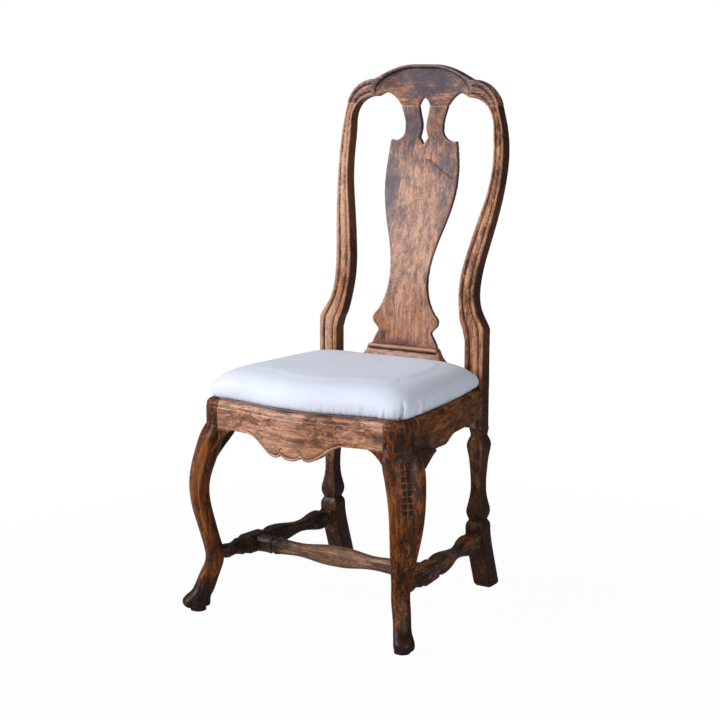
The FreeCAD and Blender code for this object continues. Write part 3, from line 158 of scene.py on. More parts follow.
@dataclass(frozen=True)
class Wood:
    """Old hardwood under stains and wax, worn pale on the edges and black in the hollows, with painted shade,
    light and sheen.
    """

    name: str
    tan: str = "#c18a68"
    brown: str = "#96624a"
    orange: str = "#ad6e3f"
    deep: str = "#6a4a42"
    dark: str = "#382634"
    residue: str = "#150c0a"
    worn: str = "#d0a388"
    # The bluish colour is partly patina and partly a painted sheen; the pale flecks are partly residue and
    # partly painted glints.
    bloom: str = "#48384a"
    fleck: str = "#d2ccca"
    cover: float = 0.0
    edge_wear: float = 0.45
    streak_mm: Pair = (7.0, 80.0)
    fibre_mm: Pair = (2.2, 36.0)
    dash_mm: Pair = (1.6, 7.0)
    mottle_mm: Pair = (3.2, 8.0)
    patch_mm: Pair = (45.0, 75.0)
    blotch_mm: Pair = (14.0, 30.0)
    scratch_mm: Pair = (1.6, 42.0)
    scratch_turn: float = math.radians(38.0)
    cell_mm: float = 11.0
    noise_roughness: float = 0.62
    roughness: float = 0.46
    rough_spread: float = 0.4
    wax: float = 0.15
    wax_roughness: float = 0.32
    sheen: float = 0.4
    bump: float = 0.42
    relief_mm: float = 1.0

    @cache
    def material(self, grain: Grain) -> bpy.types.Material:
        """Build the finish for one run of the grain, once.

        Args:
            grain: The way the grain runs.

        Returns:
            The material, which reads the attributes edge, soot, rub and bloom.
        """
        material, add = blank_material(f"{self.name}_{grain.name.lower()}")
        values = self.values(add, grain)
        # Streaks and dark pores along the grain, stains left in clouds, dark residue in the hollows, arrises
        # worn tan and a dull wax. Grime darkens together with painted shade, wear lightens together with
        # painted light, the bluish patina carries a painted sheen, and the pale flecks are partly residue and
        # partly painted glints.
        stain = {"blotch": 1.5, "patch": 1.4, "streak": -0.9, "fibre": 0.5, "soot": 0.45, "rub": -1.0}
        mottle = {"mottle": 1.0, "patch": 0.6, "soot": 0.12, "rub": -0.25}
        edge = {"edge": 1.0, "blotch": 0.9, "soot": -0.5}
        hollow = {"edge": -1.0, "blotch": 0.7}
        layers = (
            (self.tan, {"streak": 1.0}, 0.41, 0.58, 1.0),
            (self.orange, {"patch": 1.0, "fibre": 0.3}, 0.60, 0.74, 0.85),
            (self.worn, {"rub": 1.0, "fibre": 1.0}, 0.65, 1.15, 0.6),
            (self.deep, {"soot": 1.0, "blotch": 0.6}, 0.40, 1.0, 0.92),
            (self.dark, stain, 1.08 - self.cover, 1.85 - self.cover, 0.95),
            (self.bloom, {"blotch": 1.0, "streak": -0.5, "soot": 0.2}, 0.20, 0.45, 0.4),
            (self.dark, mottle, 0.79, 0.97, 0.75),
            (self.dark, {"fibre": 1.0}, 0.50, 0.68, 0.5),
            (self.residue, {"dash": 1.0}, 0.57, 0.68, 0.75),
            (self.bloom, {"bloom": 1.0, "blotch": 1.4, "streak": -1.3}, 0.45, 1.1, 0.85),
            (self.worn, edge, 0.95, 1.45, self.edge_wear),
            (self.residue, hollow, 0.50, 0.95, 0.96),
            (self.worn, {"scratch": 1.0, "patch": 0.35}, 0.90, 0.97, 0.4),
            (self.fleck, {"pick": 1.0, "cell": -3.5}, 0.66, 0.74, 0.7))
        colour = paint(self.brown)
        for above, weights, low, high, top in layers:
            share = add("MapRange", {
                "interpolation_type": "SMOOTHSTEP", "Value": weigh(add, values, weights),
                "From Min": low, "From Max": high, "To Max": top})
            colour = add("Mix", {"data_type": "RGBA", 0: share, 6: colour, 7: paint(above)}, 2)
        relief = {"streak": 0.4, "dash": -0.6, "blotch": 0.5, "mottle": -0.6, "scratch": -0.3}
        height = weigh(add, values, relief)
        bump = add("Bump", {"Strength": self.bump, "Distance": self.relief_mm * MM, "Height": height})
        smoothest = self.roughness - self.rough_spread / 2
        rough = add("Math", {
            "operation": "MULTIPLY_ADD", 0: values["blotch"], 1: self.rough_spread, 2: smoothest})
        shader = add("BsdfPrincipled", {
            "Base Color": colour, "Roughness": rough, "Normal": bump, "Specular IOR Level": self.sheen,
            "Coat Weight": self.wax, "Coat Roughness": self.wax_roughness})
        add("OutputMaterial", {"Surface": shader})
        return material

    def values(self, add: Add, grain: Grain) -> dict[str, bpy.types.NodeSocket]:
        """Lay out the noises and painted values that the finish is made from.

        Args:
            add: The function that adds a node.
            grain: The way the grain runs.

        Returns:
            The outputs by name.
        """
        place = add("TexCoord", {}, "Object")
        upright = add("Mapping", {"Vector": place, "Rotation": grain.value})
        slanted = add("Mapping", {"Vector": upright, "Rotation": (0.0, self.scratch_turn, 0.0)})
        values = {}
        for name, (wide, long), start, detail, warp in (
                ("streak", self.streak_mm, upright, 6.0, 0.7), ("fibre", self.fibre_mm, upright, 3.0, 0.3),
                ("dash", self.dash_mm, upright, 2.0, 0.0), ("patch", self.patch_mm, upright, 5.0, 0.6),
                ("blotch", self.blotch_mm, upright, 9.0, 0.4), ("mottle", self.mottle_mm, upright, 6.0, 0.5),
                ("scratch", self.scratch_mm, slanted, 1.0, 0.1)):
            scale = (PER_METRE / wide, PER_METRE / wide, PER_METRE / long)
            spread = add("Mapping", {"Vector": start, "Scale": scale})
            values[name] = add("TexNoise", {
                "Vector": spread, "Scale": 1.0, "Detail": detail, "Roughness": self.noise_roughness,
                "Distortion": warp}, "Fac")
        values["cell"] = add("TexVoronoi", {"Vector": place, "Scale": PER_METRE / self.cell_mm}, "Distance")
        values["pick"] = add("SeparateColor", {0: values["cell"].node.outputs["Color"]})
        for name in ("edge", "soot", "rub", "bloom"):
            values[name] = add("Attribute", {"attribute_name": name}, "Fac")
        return values


@dataclass(frozen=True)
class Cloth:
    """Plain woven cloth, drawn by rows of thread along each axis."""

    name: str
    light: str
    shade: str
    thread_mm: float
    relief_mm: float
    roughness: float = 0.92
    sheen: float = 0.15
    contrast: float = 0.5
    soil: float = 0.5
    cloud_mm: float = 60.0
    bump: float = 0.4
    specular: float = 0.2

    @cache
    def material(self) -> bpy.types.Material:
        """Build the cloth's finish, once."""
        # Rows of thread over and under, with a faint unevenness where the cloth has been handled.
        material, add = blank_material(self.name)
        place = add("TexCoord", {}, "Object")
        weave = 0.0
        for axis in ("X", "Y", "Z"):
            row = add("TexWave", {
                "Vector": place, "bands_direction": axis, "Distortion": 0.6, "Detail": 1.0,
                "Scale": PER_METRE / (WAVE_TURN * self.thread_mm)}, "Fac")
            weave = add("Math", {"operation": "ADD", 0: row, 1: weave})
        clouds = add("TexNoise", {
            "Vector": place, "Scale": PER_METRE / self.cloud_mm, "Detail": 5.0, "Roughness": 0.6}, "Fac")
        threads = add("MapRange", {
            "Value": weave, "From Min": 0.2, "From Max": 2.6, "To Min": self.contrast, "To Max": 0.0})
        handled = add("MapRange", {"Value": clouds, "From Min": 0.4, "From Max": 0.75, "To Max": self.soil})
        mixed = add("Math", {"operation": "ADD", "use_clamp": True, 0: threads, 1: handled})
        colour = add("Mix", {"data_type": "RGBA", 0: mixed, 6: paint(self.light), 7: paint(self.shade)}, 2)
        bump = add("Bump", {"Strength": self.bump, "Distance": self.relief_mm * MM, "Height": weave})
        shader = add("BsdfPrincipled", {
            "Base Color": colour, "Normal": bump, "Roughness": self.roughness, "Sheen Weight": self.sheen,
            "Specular IOR Level": self.specular})
        add("OutputMaterial", {"Surface": shader})
        return material


@dataclass(frozen=True)
class Iron:
    """Dull dark iron of a cut tack."""

    name: str = "tack_iron"
    colour: str = "#3c3836"
    cloud_mm: float = 2.0

    def material(self) -> bpy.types.Material:
        """Build the iron's finish."""
        # Dark grey metal, dulled and a little uneven.
        material, add = blank_material(self.name)
        place = add("TexCoord", {}, "Object")
        cloud = add("TexNoise", {"Vector": place, "Scale": PER_METRE / self.cloud_mm, "Detail": 3.0}, "Fac")
        rough = add("MapRange", {"Value": cloud, "To Min": 0.4, "To Max": 0.7})
        colour = paint(self.colour)
        shader = add("BsdfPrincipled", {"Base Color": colour, "Metallic": 1.0, "Roughness": rough})
        add("OutputMaterial", {"Surface": shader})
        return material


BACK_WOOD = Wood("stained_wood_back")
POST_WOOD = Wood(
    "stained_wood_posts", tan="#c58d68", brown="#98624a", orange="#ad6d3e", deep="#63340f", dark="#28140b",
    worn="#dcb298", bloom="#5a4038", wax=0.05, sheen=0.17)
RAIL_WOOD = Wood(
    "stained_wood_rails", tan="#d09b7c", brown="#a87257", orange="#ba7b50", deep="#6d4429", dark="#3a2117",
    worn="#d8aa8c", bloom="#6a483c")
# A darker, more saturated copy of the rail wood for the side rails: partly their own colour, partly painted
# shade on these side-facing rails.
SIDE_RAIL_WOOD = Wood(
    "stained_wood_side_rails", tan="#965d2d", brown="#683a19", orange="#8a501d", deep="#452611",
    dark="#24130a", worn="#a56f42", bloom="#43281a", cover=0.05, wax=0.08, sheen=0.18)
LEG_WOOD = Wood(
    "stained_wood_legs", tan="#935220", brown="#562b10", orange="#864513", deep="#3f210d", dark="#140a06",
    worn="#a56c3c", bloom="#3a251d", cover=0.04, edge_wear=0.4, wax=0.08, sheen=0.16)
MEDIAL_WOOD = Wood(
    "stained_wood_medial", tan="#a67e64", brown="#6f4b37", orange="#835536", deep="#4f3427", dark="#22140f",
    worn="#b8937b", bloom="#463633", edge_wear=0.4, sheen=0.3)
STRETCHER_WOOD = Wood(
    "stained_wood_stretchers", tan="#7a5036", brown="#452816", orange="#5c351a", deep="#331c0f",
    dark="#140b07", worn="#8d6a52", bloom="#2e2019", cover=0.05, edge_wear=0.4, wax=0.12, sheen=0.2)
RAW_WOOD = Wood(
    "raw_wood", tan="#b08a62", brown="#94704d", orange="#9c7145", dark="#5a4029", residue="#33241a",
    worn="#bf9b74", cover=-0.25, roughness=0.7, wax=0.0)
PEG_WOOD = Wood(
    "peg_wood", tan="#7a5236", brown="#5b3a27", orange="#6d4428", cover=0.1, streak_mm=(2.0, 40.0))
MUSLIN = Cloth("muslin", light="#dce1f0", shade="#cfd5e5", thread_mm=1.0, relief_mm=0.1, contrast=0.1)
JUTE = Cloth("jute_webbing", light="#b3976c", shade="#7b6240", thread_mm=3.2, relief_mm=0.9, soil=0.7)
HESSIAN = Cloth("hessian", light="#a88c62", shade="#5f4a30", thread_mm=2.4, relief_mm=0.8, soil=0.6)
TACK_IRON = Iron()


def choose(*pieces: Piece) -> None:
    """Select objects alone and make the first of them active.

    Args:
        pieces: The objects.
    """
    bpy.ops.object.select_all(action="DESELECT")
    for piece in pieces:
        piece.select_set(True)
    bpy.context.view_layer.objects.active = pieces[0]


def join(pieces: Sequence[Piece], name: str) -> Piece:
    """Join objects into the first of them.

    Args:
        pieces: The objects.
        name: The joined object's name.

    Returns:
        The joined object.
    """
    choose(*pieces)
    if len(pieces) > 1:
        bpy.ops.object.join()
    pieces[0].name = name
    return pieces[0]


def add_object(name: str, data: bpy.types.ID) -> Piece:
    """Put a new object into the scene.

    Args:
        name: The object's name.
        data: Its mesh, lamp or lens.

    Returns:
        The object.
    """
    made = bpy.data.objects.new(name, data)
    bpy.context.scene.collection.objects.link(made)
    return made


def apply_modifier(piece: Piece, kind: str, **settings: object) -> None:
    """Add one modifier with its settings and apply it.

    Args:
        piece: The object.
        kind: The modifier's type name.
        settings: The modifier's fields.
    """
    choose(piece)
    modifier = piece.modifiers.new(kind.lower(), kind)
    for name, value in settings.items():
        setattr(modifier, name, value)
    bpy.ops.object.modifier_apply(modifier=modifier.name)


def ruffle(piece: Piece, length: float, depth: int, height: float, level: float) -> None:
    """Push an object's faces gently in and out.

    Args:
        piece: The object.
        length: The size of the waves.
        depth: How many finer waves lie on them.
        height: How far they reach.
        level: The share of a wave that moves nothing.
    """
    waves = bpy.data.textures.new(f"{piece.name}_waves", "CLOUDS")
    waves.noise_scale = length
    waves.noise_depth = depth
    apply_modifier(piece, "DISPLACE", texture=waves, texture_coords="LOCAL", strength=height, mid_level=level)


def copy_of(node: str, name: str) -> Piece:
    """Copy a CAD node's mesh and merge its loose triangles.

    Args:
        node: The CAD node.
        name: The copy's name.

    Returns:
        The copy, with no materials.
    """
    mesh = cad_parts[node].data.copy()
    mesh.materials.clear()
    piece = add_object(name, mesh)
    choose(piece)
    bpy.ops.object.mode_set(mode="EDIT")
    bpy.ops.mesh.select_all(action="SELECT")
    bpy.ops.mesh.remove_doubles(threshold=WELD)
    bpy.ops.object.mode_set(mode="OBJECT")
    return piece


def read(items: bpy.types.bpy_prop_collection, name: str, width: int, kind: type = float) -> Array:
    """Read one field of all of a mesh's points, edges or faces.

    Args:
        items: The mesh's items.
        name: The field's name.
        width: How many numbers it has.
        kind: Their type.

    Returns:
        A row for each item.
    """
    flat = np.empty(len(items) * width, dtype=kind)
    items.foreach_get(name, flat)
    return flat.reshape(-1, width)


def points_of(piece: Piece) -> Array:
    """The mesh's points as rows of x, y and z."""
    return read(piece.data.vertices, "co", 3)


def normals_of(piece: Piece) -> Array:
    """The outward direction at each of the mesh's points."""
    return read(piece.data.vertex_normals, "vector", 3, np.float32).astype(float)


def put_points(piece: Piece, points: Array) -> None:
    """Move the mesh's points."""
    piece.data.vertices.foreach_set("co", points.ravel())
    piece.data.update()


def relax(piece: Piece, points: Array, passes: int) -> Array:
    """Ease each point towards the middle of its neighbours.

    Args:
        piece: The object whose edges say which points are neighbours.
        points: The places to ease.
        passes: How many times.

    Returns:
        The eased places.
    """
    pairs = read(piece.data.edges, "vertices", 2, np.int32)
    first, second = pairs.T
    total = len(points)
    count = np.maximum(np.bincount(pairs.ravel(), minlength=total), 1)
    for _ in range(passes):
        near = np.stack([np.bincount(first, points[second, axis], total)
                         + np.bincount(second, points[first, axis], total) for axis in range(3)], axis=1)
        points = points + 0.5 * (near / count[:, None] - points)
    return points


def put_values(piece: Piece, name: str, values: Array) -> None:
    """Paint one value on each of the mesh's points."""
    layer = piece.data.attributes.new(name, "FLOAT", "POINT")
    layer.data.foreach_set("value", values.astype(np.float32))


def dress(piece: Piece, material: bpy.types.Material, body: Body,
          nodes: Sequence[str] = ()) -> None:
    """Give a piece its finish, hang it on its body, and hide the CAD nodes that it replaces.

    Args:
        piece: The piece.
        material: Its finish.
        body: The part of the chair that it moves with.
        nodes: The CAD nodes that it replaces.
    """
    piece.data.materials.append(material)
    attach(piece, body.value)
    if nodes:
        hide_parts(*nodes)
    LOG.info("%s: %d faces", piece.name, len(piece.data.polygons))


def step(values: Array, low: float, high: float) -> Array:
    """A smooth step from 0 at low to 1 at high."""
    share = np.clip((values - low) / (high - low), 0.0, 1.0)
    return share * share * (3 - 2 * share)


def facing_front(normals: Array) -> Array:
    """How squarely each point faces the front, from 0 to 1."""
    return step(-normals[:, 1], 0.4, 0.8)


@dataclass(frozen=True)
class Patch:
    """A soft-edged place where a finish is stronger."""

    centre: Point
    reach: Point
    amount: float

    def at(self, points: Array) -> Array:
        """How strong the patch is at each point."""
        away = (points - self.centre) / self.reach
        return self.amount * np.exp(-np.sum(away * away, axis=1))


@dataclass
class Worn:
    """A finished copy of CAD pieces: arrises rounded by wear, faces a little uneven, age and painted shade,
    light and sheen put on.
    """

    nodes: Sequence[str]
    grain: Grain
    finish: Wood = BACK_WOOD
    slot: str = "stained_wood"
    body: Body = Body.FRAME
    voxel: float = 1.4 * MM
    soften: int = 2
    uneven: float = 0.5 * MM
    wave_length: float = 0.04
    wave_depth: int = 2
    ease_passes: int = 16
    edge_passes: int = 22
    edge_height: float = 1.0 * MM
    # Grime with painted shade, overall, on faces turned to the right and in patches; wear with painted light,
    # and patina with painted sheen, in patches.
    soot: float = 0.0
    right_soot: float = 0.0
    cuts: Sequence[Cut] = ()
    sooty: Sequence[Patch] = ()
    rubbed: Sequence[Patch] = ()
    bloomed: Sequence[Patch] = ()
    eased: Sequence[Patch] = ()
    moves: Sequence[Move] = ()

    def build(self) -> None:
        """Shape, age and dress the copy, in place of its CAD nodes."""
        piece = join([copy_of(node, node) for node in self.nodes], f"{self.nodes[0]}_worn")
        for move in self.moves:
            put_points(piece, move(points_of(piece)))
        apply_modifier(piece, "REMESH", mode="VOXEL", voxel_size=self.voxel)
        points = relax(piece, points_of(piece), self.soften)
        for patch in self.eased:
            smooth = relax(piece, points, self.ease_passes)
            points = points + patch.at(points)[:, None] * (smooth - points)
        put_points(piece, points)
        if self.uneven:
            ruffle(piece, self.wave_length, self.wave_depth, self.uneven, 0.5)
        for cut in self.cuts:
            points, normals = points_of(piece), normals_of(piece)
            put_points(piece, points - normals * cut(points, normals)[:, None])
        points = points_of(piece)
        points[:, 2] = np.maximum(points[:, 2], 0.0)
        put_points(piece, points)
        self.age(piece, points)
        piece.data.shade_smooth()
        dress(piece, self.finish.material(self.grain), self.body, self.nodes)

    def age(self, piece: Piece, points: Array) -> None:
        """Paint on where the piece stands proud or hollow, its grime, wear and patina, and painted shade,
        light and sheen.

        Args:
            piece: The piece.
            points: Its points.
        """
        normals = normals_of(piece)
        stands = np.einsum("ij,ij->i", points - relax(piece, points, self.edge_passes), normals)
        put_values(piece, "edge", np.clip(stands / self.edge_height, -1.0, 1.0))
        # Faces turned to the right, away from the key light, are darkened with painted shade.
        soot = self.soot + self.right_soot * step(normals[:, 0], 0.0, 1.0)
        for name, level, patches in (("soot", soot, self.sooty), ("rub", 0.0, self.rubbed),
                                     ("bloom", 0.0, self.bloomed)):
            spread = sum((patch.at(points) for patch in patches), np.zeros(len(points)))
            put_values(piece, name, level + spread)


@dataclass
class Back:
    """The crest, the two raked posts, the splat and its shoe."""

    scratch_ends: tuple[Pair, Pair] = ((0.0138, 0.8763), (0.0768, 0.838))
    scratch_half: float = 1.3 * MM
    scratch_depth: float = 1.1 * MM
    # Painted shade on the faces of the splat and the posts that turn to the right, away from the light.
    splat_dark: float = 0.4
    post_dark: float = 0.75

    def splat_scratch(self, points: Array, normals: Array) -> Array:
        """Cut the slanting scratch on the splat's face.

        Args:
            points: The splat's points.
            normals: Their outward directions.

        Returns:
            How deep each point is cut.
        """
        start, end = np.array(self.scratch_ends)
        run = end - start
        share = np.clip((points[:, ::2] - start) @ run / (run @ run), 0.0, 1.0)
        away = np.hypot(*(points[:, ::2] - start - share[:, None] * run).T) / self.scratch_half
        return self.scratch_depth * np.exp(-away * away) * facing_front(normals)

    def build(self) -> None:
        """Build the back's pieces."""
        crest_dark = Patch((0.01, 0.24, 1.045), (0.13, 0.06, 0.03), 0.5)
        # The crest's top carries a bluish patina with a painted sheen.
        crest_bloom = Patch((0.0, 0.24, 1.043), (0.13, 0.06, 0.034), 0.72)
        crest_rub = Patch((-0.07, 0.24, 1.01), (0.035, 0.06, 0.016), 0.4)
        Worn(["crest_rail"], Grain.ACROSS, voxel=1.25 * MM, soot=0.2, sooty=(crest_dark,),
             bloomed=(crest_bloom,), rubbed=(crest_rub,)).build()
        rub = (Patch((0.015, 0.21, 0.72), (0.05, 0.1, 0.16), 0.15),
               Patch((0.02, 0.19, 0.54), (0.07, 0.1, 0.06), 0.3),
               Patch((0.048, 0.19, 0.672), (0.014, 0.05, 0.024), 0.6))
        dark = (Patch((-0.075, 0.22, 0.81), (0.026, 0.06, 0.13), 0.6),
                Patch((0.058, 0.19, 0.63), (0.016, 0.05, 0.02), 0.7),
                Patch((-0.03, 0.24, 0.945), (0.05, 0.06, 0.045), 0.6),
                Patch((0.07, 0.22, 0.86), (0.02, 0.06, 0.08), 0.25),
                Patch((0.0, 0.19, 0.5), (0.09, 0.05, 0.015), 0.45))
        Worn(["splat"], Grain.UPRIGHT, voxel=1.5 * MM, soot=0.05, sooty=dark, rubbed=rub,
             right_soot=self.splat_dark, cuts=(self.splat_scratch,)).build()
        Worn(["splat_shoe"], Grain.ACROSS, soot=-0.1).build()
        for side in Side:
            left = side is Side.LEFT
            # Each post gets painted shade towards its foot, deeper on the right, and painted light, strong on
            # the left post and slight on the right.
            low = Patch((side.value * 0.18, 0.18, 0.1), (0.08, 0.14, 0.3), 0.5 if left else 0.68)
            lit = (Patch((side.value * 0.2, 0.16, 0.53), (0.05, 0.08, 0.07), 0.8 if left else 0.1),
                   Patch((side.value * 0.19, 0.22, 0.82), (0.06, 0.1, 0.25), 0.75 if left else 0.15))
            Worn([f"rear_post_{side.word}"], Grain.UPRIGHT, POST_WOOD, uneven=0.4 * MM, sooty=(low,),
                 rubbed=lit, right_soot=self.post_dark).build()


@dataclass
class SeatRails:
    """The rails that carry the seat, their glue blocks and pegs."""

    apron_line: Sequence[Pair] = (
        (0.0, 0.337), (0.013, 0.339), (0.024, 0.347), (0.031, 0.340), (0.040, 0.339), (0.049, 0.342),
        (0.062, 0.350), (0.083, 0.3651), (0.100, 0.3725), (0.116, 0.374))
    bead_width: float = 6.0 * MM
    bead_half: float = 1.5 * MM
    bead_depth: float = 1.3 * MM
    bead_end: float = 0.128
    bead_fade: float = 0.02
    hook: Pair = (0.0205, 0.3545)
    hook_radius: float = 3.6 * MM
    hook_slope: float = -0.4
    chip_centre: Point = (-0.06, -0.262, 0.427)
    chip_reach: Point = (0.011, 0.012, 0.004)
    chip_depth: float = 2.2 * MM
    bracket_front: float = -0.170
    bracket_seam: float = 0.357
    bracket_rise: float = 15.5 * MM
    seam_reach: float = 1.0 * MM
    peg_stand: float = 0.6 * MM
    peg_end: float = 0.1 * MM

    def apron_bead(self, points: Array, normals: Array) -> Array:
        """Cut the line along the apron's shaped edge, with its two hooked ends.

        Args:
            points: The rail's points.
            normals: Their outward directions.

        Returns:
            How deep each point is cut.
        """
        across = np.abs(points[:, 0])
        low = np.interp(across, *zip(*self.apron_line))
        away = points[:, 2] - low - self.bead_width
        face = facing_front(normals) * step(self.bead_end - across, 0.0, self.bead_fade)
        over, up = across - self.hook[0], points[:, 2] - self.hook[1]
        ring = np.where(up > self.hook_slope * over, np.hypot(over, up) - self.hook_radius, 1.0)
        away = np.minimum(np.abs(away), np.abs(ring))
        return self.bead_depth * np.exp(-(away / self.bead_half) ** 2) * face

    def rim_chip(self, points: Array, normals: Array) -> Array:
        """How deep the chip in the front rim is."""
        away = (points - self.chip_centre) / self.chip_reach
        return self.chip_depth * step(-np.sum(away * away, axis=1), -1.0, -0.4)

    def build(self) -> None:
        """Build the rails, blocks and pegs."""
        knot = Patch((0.02, -0.25, 0.378), (0.04, 0.03, 0.007), 0.5)
        # Painted shade along the rail's top, under the cushion's edge.
        top = Patch((0.0, -0.25, 0.43), (0.3, 0.05, 0.006), 0.3)
        # Painted light on the apron, which gets less light than the rest of the rail.
        lit = Patch((0.02, -0.25, 0.36), (0.14, 0.05, 0.025), 0.3)
        ends = [Patch((side.value * 0.2, -0.25, 0.39), (0.045, 0.05, 0.06), 0.4) for side in Side]
        Worn(["front_seat_rail"], Grain.ACROSS, RAIL_WOOD, voxel=1.3 * MM, sooty=(knot, top, *ends),
             rubbed=(lit,), cuts=(self.apron_bead, self.rim_chip)).build()
        Worn(["rear_seat_rail"], Grain.ACROSS, RAIL_WOOD, soot=0.2).build()
        for side in Side:
            tip = Patch((side.value * 0.225, -0.125, 0.35), (0.03, 0.05, 0.03), 1.0)
            # Painted shade on the rail's front, low, where the leg and its bracket shade it.
            front = Patch((side.value * 0.24, -0.17, 0.345), (0.05, 0.06, 0.05), 1.0)
            Worn([f"side_seat_rail_{side.word}", f"knee_bracket_side_{side.word}"], Grain.FORE_AFT,
                 SIDE_RAIL_WOOD, voxel=1.3 * MM, sooty=(front,), eased=(tip,),
                 moves=(self.bracket_top,)).build()
            for end in ("front", "rear"):
                Worn([f"corner_block_{end}_{side.word}"], Grain.ACROSS, RAW_WOOD, "raw_wood",
                     voxel=2.2 * MM).build()
        for joint, grain, axis in (("front", Grain.FORE_AFT, 1), ("side", Grain.ACROSS, 0),
                                   ("heel", Grain.ACROSS, 0)):
            Worn([f"{joint}_joint_pegs"], grain, PEG_WOOD, "peg_wood", voxel=0.6 * MM, uneven=0.0,
                 moves=(partial(self.peg_ends, axis),)).build()

    def bracket_top(self, points: Array) -> Array:
        """Let the side bracket's front top corner up under the leg's block.

        Args:
            points: The points of the rail and its bracket.

        Returns:
            The moved points.
        """
        moved = points.copy()
        seam = np.abs(points[:, 2] - self.bracket_seam) < self.seam_reach
        moved[(points[:, 1] < self.bracket_front) & seam, 2] += self.bracket_rise
        return moved

    def peg_ends(self, axis: int, points: Array) -> Array:
        """Bring the pegs' outer ends out, a hair proud of their legs.

        Args:
            axis: The axis that the pegs lie along.
            points: The pegs' points.

        Returns:
            The moved points.
        """
        moved = points.copy()
        out = np.abs(points[:, axis])
        ends = out > out.max() - self.peg_end
        moved[ends, axis] += np.sign(points[ends, axis]) * self.peg_stand
        return moved


@dataclass
class FrontLegs:
    """The cabriole legs with carved knees, eased into the rails by their brackets."""

    knee: Pair = (0.2375, -0.2193)
    cell_rows: int = 8
    cell_top: float = 0.352
    cell_pitch: float = 12.0 * MM
    cell_half: Pair = (4.6 * MM, 5.4 * MM)
    cell_square: float = 1.6
    cell_apart: float = 5.2 * MM
    cell_shift: float = -3.0 * MM
    cell_depth: float = 2.2 * MM
    arris_round: float = 12.0 * MM
    arris_foot: Pair = (0.1, 0.2)
    arris_top: float = 0.355
    arris_fade: float = 0.05
    groove_shift: float = 4.0 * MM
    groove_half: float = 1.5 * MM
    groove_depth: float = 1.5 * MM
    groove_foot: Pair = (0.384, 0.39)
    groove_top: float = 0.42
    groove_fade: float = 0.004
    # Painted shade on the leg's faces that turn to the right, away from the light.
    leg_dark: float = 0.15

    def about_knee(self, side: Side, points: Array) -> tuple[Array, Array]:
        """How far each point lies across the knee's corner, and out from it."""
        out_x, out_y = points[:, 0] * side.value - self.knee[0], points[:, 1] - self.knee[1]
        return (out_x + out_y) * DIAGONAL, (out_x - out_y) * DIAGONAL

    def knee_cells(self, side: Side, points: Array, normals: Array) -> Array:
        """Cut two columns of small sunk cells down the knee.

        Args:
            side: The leg's side.
            points: The leg's points.
            normals: Their outward directions.

        Returns:
            How deep each point is cut.
        """
        across, out = self.about_knee(side, points)
        depth = np.zeros(len(points))
        for row in range(self.cell_rows):
            middle = self.cell_top - row * self.cell_pitch
            tall = np.abs(points[:, 2] - middle) / self.cell_half[1]
            for column in (-1.0, 1.0):
                wide = np.abs(across - self.cell_shift - column * self.cell_apart) / self.cell_half[0]
                away = np.hypot(wide ** self.cell_square, tall ** self.cell_square)
                depth = np.maximum(depth, step(-away, -1.0, -0.35))
        outer = (normals[:, 0] * side.value - normals[:, 1]) * DIAGONAL
        return self.cell_depth * depth * step(outer, 0.2, 0.6) * step(out, -0.02, 0.0)

    def inner_arris(self, side: Side, points: Array, normals: Array) -> Array:
        """Bring the corner between the leg's front and inner faces out to a crisp arris.

        Args:
            side: The leg's side.
            points: The leg's points.
            normals: Their outward directions.

        Returns:
            How deep each point is cut, below zero where the leg stands out.
        """
        inner = -(normals[:, 0] * side.value + normals[:, 1]) * DIAGONAL
        turn = np.arccos(np.clip(inner, -1.0, 1.0))
        away = np.clip(math.pi / 4 - turn, 0.0, math.pi / 4)
        run = step(points[:, 2], *self.arris_foot) * step(self.arris_top - points[:, 2], 0.0, self.arris_fade)
        return -self.arris_round * (1 / np.cos(away) - 1) * run

    def block_groove(self, side: Side, points: Array, normals: Array) -> Array:
        """Cut the short upright groove on the block's rounded corner.

        Args:
            side: The leg's side.
            points: The leg's points.
            normals: Their outward directions.

        Returns:
            How deep each point is cut.
        """
        across = self.about_knee(side, points)[0] + self.groove_shift
        top = step(self.groove_top - points[:, 2], 0.0, self.groove_fade)
        run = step(points[:, 2], *self.groove_foot) * top
        return self.groove_depth * np.exp(-(across / self.groove_half) ** 2) * run

    def build(self) -> None:
        """Build the legs with their brackets."""
        for side in Side:
            toe = Patch((side.value * 0.238, -0.236, 0.02), (0.06, 0.06, 0.04), 0.7)
            block = Patch((side.value * 0.235, -0.22, 0.385), (0.04, 0.05, 0.035), 0.45)
            knee = Patch((side.value * 0.25, -0.235, 0.33), (0.03, 0.03, 0.05), 0.15)
            worn = Patch((side.value * 0.215, -0.265, 0.3), (0.035, 0.03, 0.09), 0.45)
            seam = Patch((side.value * 0.2, -0.19, 0.325), (0.05, 0.07, 0.04), 1.0)
            cuts = [partial(cut, side) for cut in (self.inner_arris, self.knee_cells, self.block_groove)]
            # The toes get a bluish patina with a painted sheen.
            Worn([f"front_leg_{side.word}", f"knee_bracket_front_{side.word}"], Grain.UPRIGHT, LEG_WOOD,
                 voxel=1.3 * MM, soot=0.02, right_soot=self.leg_dark, cuts=cuts,
                 sooty=(toe, block, knee), rubbed=(worn,), eased=(seam,),
                 bloomed=(Patch(toe.centre, (0.06, 0.06, 0.03), 0.4),)).build()


@dataclass
class Stretchers:
    """The three sticks that brace the legs in an H."""

    def build(self) -> None:
        """Build the stretchers."""
        middle = Patch((0.0, -0.09, 0.12), (0.12, 0.05, 0.05), 0.35)
        ends = [Patch((side.value * 0.2, -0.09, 0.12), (0.075, 0.06, 0.06), 0.9) for side in Side]
        Worn(["medial_stretcher"], Grain.ACROSS, MEDIAL_WOOD, sooty=ends, rubbed=(middle,)).build()
        for side in Side:
            Worn([f"side_stretcher_{side.word}"], Grain.FORE_AFT, STRETCHER_WOOD,
                 soot=0.4 if side is Side.LEFT else 0.15).build()


